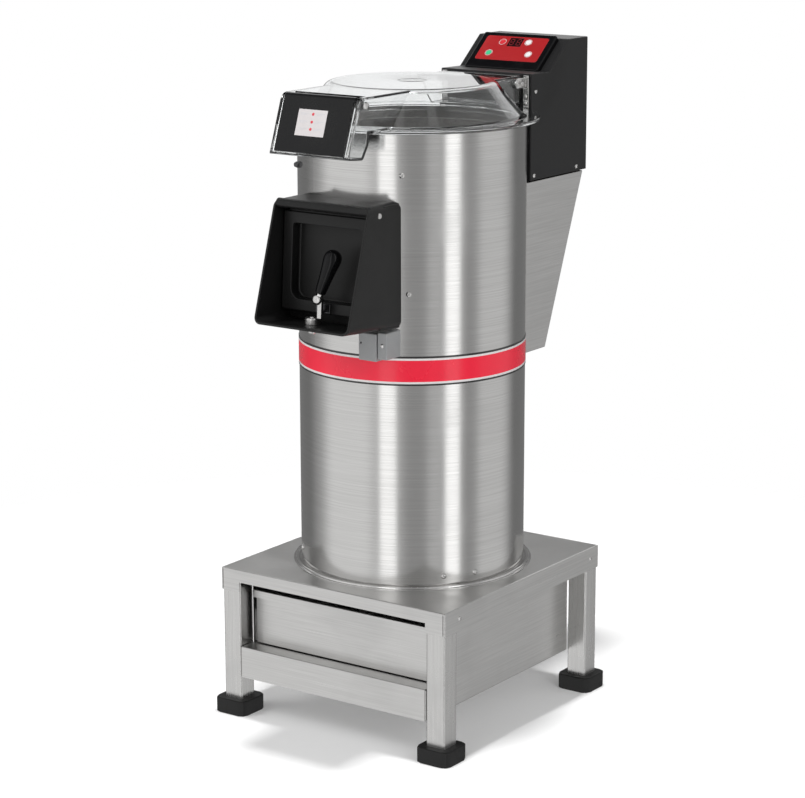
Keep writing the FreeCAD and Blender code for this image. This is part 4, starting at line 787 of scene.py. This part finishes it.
def makeGuardSwitch():
    look = {"left": (40.0, 77.0), "right": (79.0, 98.0), "low": 677.0, "high": 727.0, "face": -216.0,
        "back": -172.0}
    (leftLow, leftHigh), (rightLow, rightHigh) = look["left"], look["right"]
    low, high, face, back = look["low"], look["high"], look["face"], look["back"]
    left = blockForm((leftLow, face, low), (leftHigh, back, high - 2), 1.8, 3)
    right = blockForm((rightLow, face + 1, low + 5), (rightHigh, back, high + 1), 1.8, 3)
    web = blockForm((leftHigh - 2, face + 6, low + 6), (rightLow + 2, back, high - 3), 0.5, 2)
    hole = turnedForm([(0, -3), (2, -3), (2, 10), (0, 10)], 24)
    hole = moved(aimed(hole, (0, 1, 0)), leftLow + 5, face, high - 20)
    body = carved(left, [("DIFFERENCE", hole), ("UNION", web), ("UNION", right),
        ("DIFFERENCE", drumCore(640, 760))])
    finishPiece("guardSwitch", body, greyPlastic, "frame", ["guard_switch"], sharp=40)
    head = turnedForm([(0, 0), (3.4, 0), (3.2, 1.4), (1.9, 2.1), (0, 2.3)], 32)
    head = carved(head, [("DIFFERENCE", blockForm((-4, -0.5, 1.4), (4, 0.5, 3)))])
    finishPiece("guardScrew", moved(aimed(head, (0, -1, 0)), rightLow + 10, face + 1.2, high - 21), brightSteel,
        "frame")


makeHood()
makeDoor()
makeLatch()
makeGuardSwitch()
print("hood, door and latch shaped")


# lid and feed flap

def makeLid():
    look = {"steps": 160, "shoulder": 8.0, "wall": 4.0, "bead": 9.0, "frontHalf": 82.0, "rearHalf": 80.0,
        "outside": [(0, 1054), (197.2, 1054), (197.2, 1061.4), (223, 1061.4), (223, 1067.5), (194, 1067.5),
        (146, 1128), (26, 1128), (25, 1127.3), (23, 1127.3), (22, 1128), (0, 1128)],
        "inside": [(0, 1049), (194.2, 1049), (194.2, 1067.5), (189.6, 1067.5), (144.2, 1124), (0, 1124)],
        "front": [(-262, 1127), (-298, 1028), (-257, 1024), (-241, 1048), (-239, 1065), (-150, 1065),
        (-120, 1127)], "frontSoft": [(-262, 1127, 12), (-257, 1024, 4), (-298, 1028, 2)],
        "frontWay": [(-257.5, 1123), (-293, 1031.2), (-259, 1028.5), (-245, 1049.5), (-243, 1070), (-165, 1070),
        (-108, 1123)], "frontOpen": [(-330, 1123), (-330, 1034), (-285, 1030.6), (-250, 1123)],
        "mouth": ((-330, 1100), (-236, 1130)), "rear": [(110, 1121), (226, 1121), (226, 1071), (214, 1065),
        (150, 1065)], "rearSoft": [(226, 1121, 7)], "rearWay": [(105, 1117), (222, 1117), (222, 1074),
        (212, 1070), (140, 1070)]}
    shoulder, frontHalf, rearHalf = look["shoulder"], look["frontHalf"], look["rearHalf"]
    outer = turnedForm(look["outside"], look["steps"])
    roundRims(outer, [(223, 1061.4, 2.0), (223, 1067.5, 2.6), (194, 1067.5, 6.0), (146, 1128, shoulder)], 6)
    inner = turnedForm(look["inside"], look["steps"])
    roundRims(inner, [(144.2, 1124, shoulder - 2), (189.6, 1067.5, 3.0)], 5)

    def box(corners, half, corner, soft):
        form = sideForm(corners, -half, half)
        for y, z, width in corner:
            roundEdges(form, width, 7, bothEnds(lambda co: abs(co.y - y) < 0.1 and abs(co.z - z) < 0.1))

        def onSide(edge):
            ends = [vert.co.x for vert in edge.verts]
            return all(abs(abs(x) - half) < 0.01 for x in ends) and ends[0] * ends[1] > 0
        return roundEdges(form, soft, 3, onSide)
    front = box(look["front"], frontHalf, look["frontSoft"], 2.6)
    frontWay = box(look["frontWay"], frontHalf - look["wall"], [], 1.2)
    clear = frontHalf - look["bead"]
    frontOpen = sideForm(look["frontOpen"], -clear, clear)
    (mouthFront, mouthLow), (mouthBack, mouthHigh) = look["mouth"]
    mouth = blockForm((-clear, mouthFront, mouthLow), (clear, mouthBack, mouthHigh))
    rear = box(look["rear"], rearHalf, look["rearSoft"], 2.2)
    rearWay = box(look["rearWay"], rearHalf - look["wall"], [], 1.2)
    added = [("UNION", form) for form in (front, rear)]
    lid = carved(outer, added + [("DIFFERENCE", form) for form in (inner, frontWay, frontOpen, mouth, rearWay)])
    finishPiece("clearLid", lid, clearSheet, "lid", ["lid_shell"], sharp=38)


def makeLidMetal():
    look = {"stub": [(0, 0), (4, 0), (4, 15.4), (3.4, 16), (0, 16)], "stubAt": (76, 212.0, 1108.0),
        "bolt": [(0, 0), (3.5, 0), (3.5, 18), (6.5, 18), (6.5, 20), (5.4, 21.8), (3.2, 22.8), (0, 23)],
        "boltAt": (64, -250.0, 1113.5), "leaf": ((82, 229, 1062), (93, 231.9, 1121)),
        "ear": ((82, 204, 1099), (87, 230, 1117))}
    forms, bars = [], []
    for side in (-1, 1):
        for part, steps in (("stub", 32), ("bolt", 40)):
            x, y, z = look[part + "At"]
            forms.append(moved(aimed(turnedForm(look[part], steps), (side, 0, 0)), side * x, y, z))
        for part, soft in (("leaf", 1.0), ("ear", 2.0)):
            (near, front, low), (far, back, high) = look[part]
            left, right = sorted((side * near, side * far))
            bars.append(blockForm((left, front, low), (right, back, high), soft, 3))
    finishPiece("lidBolts", joined(forms), brightSteel, "lid", ["lid_bolts"], sharp=40)
    finishPiece("lidHingeBars", joined(bars), brightSteel, "frame", ["lid_hinge_bars"])


def makeFlap():
    look = {"half": 71.5, "face": -19.5, "drop": -91.0, "rise": 11.0, "tail": 6.0, "bend": 10.0, "sheet": 3.0,
        "label": ((-35.1, -62.3), (24.0, -17.5)), "dots": [0.17, 0.466, 0.737],
        "strokes": [(0.10, 0.36), (0.62, 0.92)]}
    half, face, drop, rise, tail = (look[part] for part in ("half", "face", "drop", "rise", "tail"))
    plate = stripForm([(face + 5.5, drop), (face, drop), (face, rise), (tail, rise)], -half, half)
    roundEdges(plate, look["bend"], 8, bothEnds(lambda co: abs(co.y - face) < 0.1 and co.z > rise - 1))
    roundEdges(plate, 2.0, 3, bothEnds(lambda co: abs(co.y - face) < 0.1 and co.z < drop + 1))
    finishPiece("splashFlap", leaned(plate, "flap"), flapBlack, "flap", ["splash_flap"],
        look["sheet"], 0.8)
    cheek = [(face + 2, drop + 4), (-8, drop + 4), (-8, -14), (tail, -6), (tail, rise - 2), (-9.5, rise - 2),
        (face + 2, 1)]
    cheeks = [roundEdges(sideForm(cheek, low, low + 3), 0.8, 2) for low in (-half + 0.1, half - 3.1)]
    finishPiece("flapCheeks", leaned(joined(cheeks), "flap"), flapBlack, "flap")

    (left, low), (right, high) = look["label"]
    paper = blockForm((left, face - 0.45, low), (right, face - 0.02, high), 0.12, 2)
    finishPiece("flapLabel", leaned(paper, "flap"), labelFilm, "flap")
    dots, lines = [], []
    for share in look["dots"]:
        at = high - share * (high - low)
        dot = turnedForm([(0, 0), (2.6, 0), (2.4, 0.12), (0, 0.15)], 28)
        dots.append(moved(aimed(dot, (0, -1, 0)), (left + right) / 2 + 1.0, face - 0.45, at))
        for start, end in look["strokes"]:
            for step, length in ((0.0, 1.0), (-2.4, 0.7)):
                x0 = left + start * (right - left)
                x1 = x0 + (end - start) * (right - left) * length
                lines.append(blockForm((x0, face - 0.55, at + step + 0.7), (x1, face - 0.45, at + step + 1.6)))
    finishPiece("flapLabelDots", leaned(joined(dots), "flap"), inkRed, "flap")
    finishPiece("flapLabelLines", leaned(joined(lines), "flap"), inkGrey, "flap")


makeLid()
makeLidMetal()
makeFlap()
print("lid and flap shaped")


# control box and duct

def makeControlBox():
    look = {"outline": [(232, 932), (232, 1124), (292, 1122.6), (357.9, 1176.3), (425, 1176.3), (425, 932)],
        "half": 97.5, "fold": 2.2, "sheet": 1.5, "neck": ((-80, 150, 940), (80, 233, 1045)),
        "duct": [(120, 616), (292, 616), (417, 929.5), (120, 929.5)], "ductHalf": 95.0}
    bm = sideForm(look["outline"], -look["half"], look["half"])
    dropFaces(bm, lambda face: face.normal.z < -0.9)
    roundEdges(bm, look["fold"], 4, isFold)
    finishPiece("controlHousing", bm, casePaint, "frame", ["control_housing"], look["sheet"])
    neck = carved(blockForm(*look["neck"], 1.5, 3), [("DIFFERENCE", drumCore(920, 1065))])
    finishPiece("controlNeck", neck, casePaint, "frame")
    half = look["ductHalf"]
    duct = sideForm(look["duct"], -half, half)
    roundEdges(duct, 2.0, 4, lambda edge: min(vert.co.y for vert in edge.verts) > 130
        or all(abs(abs(vert.co.x) - half) < 0.1 for vert in edge.verts)
        and edge.verts[0].co.x * edge.verts[1].co.x > 0)
    duct = carved(duct, [("DIFFERENCE", drumCore(590, 950))])
    finishPiece("ductCover", duct, sheetSteel, "frame", ["duct_cover"])


def makeControlPanel():
    look = {"bezel": ((-78.5, -9, 0.1), (78.5, 82, 10)), "corner": 4.0,
        "pad": ((-66.7, 11.3, 8.8), (66.7, 72.7, 9.8)), "padCorner": 5.0,
        "display": ((-15, 47.5, 9.4), (14, 69.5, 10.0)), "keyRadius": 6.2}
    bezel = blockForm(*look["bezel"])
    roundEdges(bezel, look["corner"], 5, upright(9))
    roundEdges(bezel, 2.2, 4, bothEnds(lambda co: co.z > 9.9))
    sink = blockForm((-67, 11, 8.8), (67, 73, 12))
    roundEdges(sink, look["padCorner"], 4, upright(3))
    bezel = carved(bezel, [("DIFFERENCE", sink)])
    finishPiece("controlBezel", leaned(bezel, "slope"), glossBlack, "frame", ["control_bezel"])
    pad = blockForm(*look["pad"])
    roundEdges(pad, look["padCorner"], 5, upright(0.9))
    finishPiece("keypad", leaned(pad, "slope"), membraneRed, "frame", ["keypad_membrane"])
    window = blockForm(*look["display"], 0.4, 2)
    finishPiece("displayWindow", leaned(window, "slope"), displayWindow, "frame")
    bars = []
    for middle in (-7.5, 6.5):
        for u in (51.5, 58.5, 65.5):
            bars.append(blockForm((middle - 3, u - 0.7, 9.95), (middle + 3, u + 0.7, 10.05)))
        for side in (-3.7, 3.7):
            for u in (55, 62):
                x = middle + side
                bars.append(blockForm((x - 0.7, u - 2.4, 9.95), (x + 0.7, u + 2.4, 10.05)))
    finishPiece("displayDigits", leaned(joined(bars), "slope"), digitRed, "frame")

    keys = [("startKey", "start", -44, 29, keyGreen, "key_green"),
        ("stopKey", "stop", -28, 58, keyRed, "key_red"), ("timeupKey", "time_up", 27, 60, keyPale, "key_grey"),
        ("timedownKey", "time_down", 41, 30, keyPale, "key_grey")]
    radius = look["keyRadius"]
    cap = [(0, 7.4), (radius, 7.4), (radius, 9.5), (radius - 0.7, 10.1), (radius - 2.2, 10.4), (0, 10.5)]
    ring = [(radius + out, high) for out, high in ((0.5, 9.75), (1.2, 9.75), (1.2, 9.9), (0.5, 9.9))]
    rings = []
    for name, job, x, u, finish, slot in keys:
        finishPiece(name, leaned(moved(turnedForm(cap, 40), x, u, 0), "slope"), finish, f"{job}_button",
            [f"{job}_key"])
        rings.append(moved(turnedForm(ring, 40, closed=True), x, u, 0))
    finishPiece("keyRings", leaned(joined(rings), "slope"), keyPale, "frame")


def makeRearFittings():
    look = {"valve": (40.0, 425.0, 1005.0), "gland": (-55.0, 425.0, 962.0), "body": (18, 372, 408, 16),
        "inlet": [(7.6, -30), (10.2, -30), (10.2, 0), (17, 0), (17, 6), (10.2, 6), (10.2, 22), (7.6, 22)],
        "glandShape": [(0, -12), (8, -12), (8, 0), (13, 0), (13, 5), (11, 7), (11, 15), (8.5, 22), (4.5, 22),
        (4.5, 10), (0, 10)]}
    inlet = roundRims(turnedForm(look["inlet"], 48, closed=True), [(17, 6, 1.2), (10.2, 22, 0.5)], 3)
    x, back, z = look["valve"]
    wide, front, rear, tall = look["body"]
    body = blockForm((x - wide, front, z - tall), (x + wide, rear, z + tall), 2, 3)
    coil = roundRims(turnedForm([(0, 0), (17, 0), (17, 42), (0, 42)], 48), [(17, 42, 2)], 3)
    forms = [moved(aimed(inlet, (0, 1, 0)), x, back, z), body, moved(coil, x, (front + rear) / 2, z + tall - 2)]
    finishPiece("waterValve", joined(forms), brassMetal, "frame", ["water_valve"])
    gland = aimed(turnedForm(look["glandShape"], 48), (0, 1, 0))
    finishPiece("cableGland", moved(gland, *look["gland"]), mouldedBlack, "frame", ["cable_gland"])


def makeScrews():
    look = {"head": [(0, 0), (1.0, 0), (0.92, 0.45), (0.6, 0.9), (0.28, 1.0), (0, 1.0)], "socket": 0.42,
        "drum": [(33.4, 789), (30.2, 990.5), (50.7, 291), (68, 291), (-43.5, 298.5), (146, 789), (-146, 789),
        (150, 291), (-150, 291), (-100, 291)], "skirt": [(241, -205, 251), (241, 222, 251)],
        "case": [(97.5, 247, 1091), (97.5, 244, 940), (97.5, 389, 940)],
        "leaf": [(87.5, 229, 1083.8), (87.5, 229, 1071.9)],
        "rail": [(197.5, -200.5, 177.5), (197.5, -200.5, 139)], "thumb": (-42, 988), "duct": (95, 214, 768)}

    def head(at, way, radius, tall, socket=True):
        form = turnedForm([(r * radius, h * tall) for r, h in look["head"]], 28)
        if socket:
            cut = barForm(radius * look["socket"], tall, 6)
            form = carved(form, [("DIFFERENCE", moved(cut, 0, 0, tall))])
        return moved(aimed(form, way), *at)

    def onDrum(turn, high):
        across, deep = math.sin(math.radians(turn)), -math.cos(math.radians(turn))
        reach = drum["radius"] + 0.15
        return (across * reach, deep * reach, high), (across, deep, 0)

    bright = [head(*onDrum(turn, high), 5, 3) for turn, high in look["drum"]]
    for side in (-1, 1):
        for part, way, radius, tall, socket in (("skirt", (side, 0, 0), 4, 2, True),
                ("case", (side, 0, 0), 4, 2.4, True), ("leaf", (0, -1, 0), 3.4, 2.4, True),
                ("rail", (-side, 0, 0), 2.6, 1.4, False)):
            for x, y, z in look[part]:
                bright.append(head((side * x, y, z), way, radius, tall, socket))
    finishPiece("caseScrews", joined(bright), brightSteel, "frame", ["case_screws"], sharp=40)
    dark = [head(*onDrum(*look["thumb"]), 6, 9, False)]
    x, y, z = look["duct"]
    dark += [head((side * x, y, z), (side, 0, 0), 5, 5, False) for side in (1, -1)]
    finishPiece("darkBolts", joined(dark), darkSteel, "frame", ["dark_bolts"], sharp=40)


makeControlBox()
makeControlPanel()
makeRearFittings()
makeScrews()
print("control box and fittings shaped")


# CAD nodes that stay as they are get their finishes

kept = {"drawer_runners": sheetSteel, "chamber_floor": drumSteel, "waste_pipe": drumSteel,
    "abrasive_liner": grit, "abrasive_disc": grit, "bearing_housing": castIron, "shaft_bearings": brightSteel,
    "shaft_seal": footRubber, "motor_plate": castIron, "motor_body": motorPaint, "motor_shaft": brightSteel,
    "main_shaft": brightSteel, "motor_pulley": castIron, "driven_pulley": castIron, "drive_belt": footRubber,
    "circuit_board": circuitGreen, "contactor": mouldedBlack, "spray_pipe": brightSteel,
    "door_gasket": footRubber,}
for nodeName, finish in kept.items():
    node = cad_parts[nodeName]
    if not node.data.materials:
        node.data.materials.append(finish)
    for index in range(len(node.data.materials)):
        node.data.materials[index] = finish
print("kept nodes dressed")


# floor, studio and camera

def makeFloor():
    look = {"reach": 3.0, "colour": (0.82, 0.82, 0.82), "second": (0.84, 0.84, 0.84), "glow": 0.15,
        "fade": (0.9, 1.6)}
    bm = bmesh.new()
    bmesh.ops.create_circle(bm, cap_ends=True, segments=64, radius=look["reach"])
    mesh = bpy.data.meshes.new("floor")
    bm.to_mesh(mesh)
    bm.free()
    floor = bpy.data.objects.new("floor", mesh)
    bpy.context.scene.collection.objects.link(floor)
    material, tree, shader, place = newMaterial("floorPaper")
    grain = placeGroup(tree, grainGroup, {"Stretch": (40, 40, 40)}, place)
    tree.links.new(mixColours(tree, grain.outputs["Lines"], look["colour"], look["second"]),
        shader.inputs["Base Color"])
    setInputs(shader, {"Roughness": 0.9, "Specular IOR Level": 0.1, "Emission Color": (1, 1, 1, 1),
        "Emission Strength": look["glow"]})
    clear = tree.nodes.new("ShaderNodeBsdfTransparent")
    fade = tree.nodes.new("ShaderNodeMixShader")
    length = tree.nodes.new("ShaderNodeVectorMath")
    length.operation = "LENGTH"
    tree.links.new(place, length.inputs[0])
    # metal sees past the paper to the studio
    path = tree.nodes.new("ShaderNodeLightPath")
    away = tree.nodes.new("ShaderNodeMath")
    away.operation = "MAXIMUM"
    wire(tree, [(spread(tree, length.outputs["Value"], 0, 1, *look["fade"]), away.inputs[0]),
        (path.outputs["Is Glossy Ray"], away.inputs[1]), (away.outputs[0], fade.inputs[0]),
        (shader.outputs[0], fade.inputs[1]), (clear.outputs[0], fade.inputs[2]),
        (fade.outputs[0], tree.nodes["Material Output"].inputs["Surface"])])
    mesh.materials.append(material)


def makeStudio():
    # white behind the object; metal sees grey walls with tall strip lights between them
    look = {"turn": 35.23, "walls": 0.46, "ceiling": -0.20, "ceilingFrom": (0.35, 0.85),
        "strips": [(-25.0, 6.5, 4.0, 0.95), (41.0, 6.0, 3.5, 1.05), (-68.0, 20.0, 22.0, 0.38),
        (92.0, 14.0, 22.0, 0.20), (21.0, 3.0, 6.0, 0.10), (3.0, 6.0, 10.0, -0.12), (62.0, 4.0, 8.0, -0.14),
        (-40.0, 3.0, 7.0, -0.06), (178.0, 50.0, 30.0, -0.26)]}
    world = bpy.data.worlds.new("studio")
    bpy.context.scene.world = world
    world.use_nodes = True
    tree = world.node_tree
    tree.nodes.clear()

    def sums(operation, *values):
        node = tree.nodes.new("ShaderNodeMath")
        node.operation = operation
        for socket, value in zip(node.inputs, values):
            if isinstance(value, bpy.types.NodeSocket):
                tree.links.new(value, socket)
            else:
                socket.default_value = value
        return node.outputs[0]

    def eased(source, start, end, high):
        node = setInputs(tree.nodes.new("ShaderNodeMapRange"),
            {"From Min": start, "From Max": end, "To Max": high})
        node.interpolation_type = "SMOOTHSTEP"
        tree.links.new(source, node.inputs["Value"])
        return node.outputs["Result"]
    direction = tree.nodes.new("ShaderNodeTexCoord").outputs["Generated"]
    apart = tree.nodes.new("ShaderNodeSeparateXYZ")
    tree.links.new(direction, apart.inputs[0])
    heading = sums("ARCTAN2", apart.outputs["X"], sums("MULTIPLY", apart.outputs["Y"], -1.0))
    total = None
    for centre, half, feather, strength in look["strips"]:
        away = sums("SUBTRACT", heading, math.radians(look["turn"] + centre))
        away = sums("ABSOLUTE", sums("WRAP", away, math.pi, -math.pi))
        lit = eased(away, math.radians(half + feather), math.radians(half), strength)
        total = lit if total is None else sums("ADD", total, lit)
    above = eased(apart.outputs["Z"], *look["ceilingFrom"], look["ceiling"])
    total = sums("ADD", sums("ADD", total, look["walls"]), above)
    studio = tree.nodes.new("ShaderNodeBackground")
    white = tree.nodes.new("ShaderNodeBackground")
    for backdrop in (studio, white):
        backdrop.inputs["Color"].default_value = (1, 1, 1, 1)
    path = tree.nodes.new("ShaderNodeLightPath")
    mix = tree.nodes.new("ShaderNodeMixShader")
    wire(tree,
        [(total, studio.inputs["Strength"]),
        (sums("MAXIMUM", path.outputs["Is Camera Ray"], path.outputs["Is Transmission Ray"]), mix.inputs[0]),
        (studio.outputs[0], mix.inputs[1]), (white.outputs[0], mix.inputs[2]),
        (mix.outputs[0], tree.nodes.new("ShaderNodeOutputWorld").inputs[0])])

    lamps = {"key": ((-1.9, -2.3, 2.9), 1.5, 34.0), "fill": ((2.9, -1.2, 1.9), 1.4, 12.0),
        "top": ((0.0, 0.0, 6.0), 0.4, 260.0)}
    for name, (at, size, power) in lamps.items():
        light = bpy.data.lights.new(name, "AREA")
        light.size = size
        light.energy = power
        lamp = bpy.data.objects.new(name, light)
        lamp.location = at
        lamp.rotation_euler = (Vector((0, -0.05, 0.55)) - Vector(at)).to_track_quat("-Z", "Y").to_euler()
        lamp.visible_glossy = False
        bpy.context.scene.collection.objects.link(lamp)


def makeCard():
    # a white card behind the machine, level with the lid and above, seen only in reflections
    look = {"half": 2.2, "low": 1.22, "high": 3.2, "deep": 1.9, "turn": 35.23, "level": 1.02}
    bm = bmesh.new()
    bmesh.ops.create_grid(bm, x_segments=1, y_segments=1, size=1)
    bmesh.ops.scale(bm, vec=(look["half"], (look["high"] - look["low"]) / 2, 1), verts=bm.verts)
    bmesh.ops.rotate(bm, cent=(0, 0, 0), matrix=Matrix.Rotation(math.radians(90), 3, "X"), verts=bm.verts)
    moved(bm, 0, look["deep"], (look["high"] + look["low"]) / 2)
    bmesh.ops.rotate(bm, cent=(0, 0, 0), matrix=Matrix.Rotation(math.radians(look["turn"]), 3, "Z"),
        verts=bm.verts)
    card = looseObject("card", bm)
    material = bpy.data.materials.new("cardGlow")
    material.use_nodes = True
    tree = material.node_tree
    tree.nodes.clear()
    glow = tree.nodes.new("ShaderNodeEmission")
    glow.inputs["Strength"].default_value = look["level"]
    tree.links.new(glow.outputs[0], tree.nodes.new("ShaderNodeOutputMaterial").inputs[0])
    card.data.materials.append(material)
    card.visible_camera = False
    card.visible_diffuse = False
    card.visible_transmission = False
    card.visible_shadow = False


def makeCamera():
    look = {"at": (2.5578, -3.7122, 1.6134), "turn": 35.23, "down": 13.28, "roll": -0.12, "lens": 115.02}
    data = bpy.data.cameras.new("camera")
    data.lens = look["lens"]
    data.sensor_width = 36
    camera = bpy.data.objects.new("camera", data)
    turn = (Matrix.Rotation(math.radians(look["turn"]), 4,
        "Z") @ Matrix.Rotation(math.radians(90 - look["down"]), 4,
        "X") @ Matrix.Rotation(math.radians(look["roll"]), 4, "Z"))
    camera.matrix_world = Matrix.Translation(look["at"]) @ turn
    bpy.context.scene.collection.objects.link(camera)
    bpy.context.scene.camera = camera


makeFloor()
makeStudio()
makeCard()
makeCamera()
bpy.context.scene.view_settings.view_transform = "Standard"
print("studio ready")
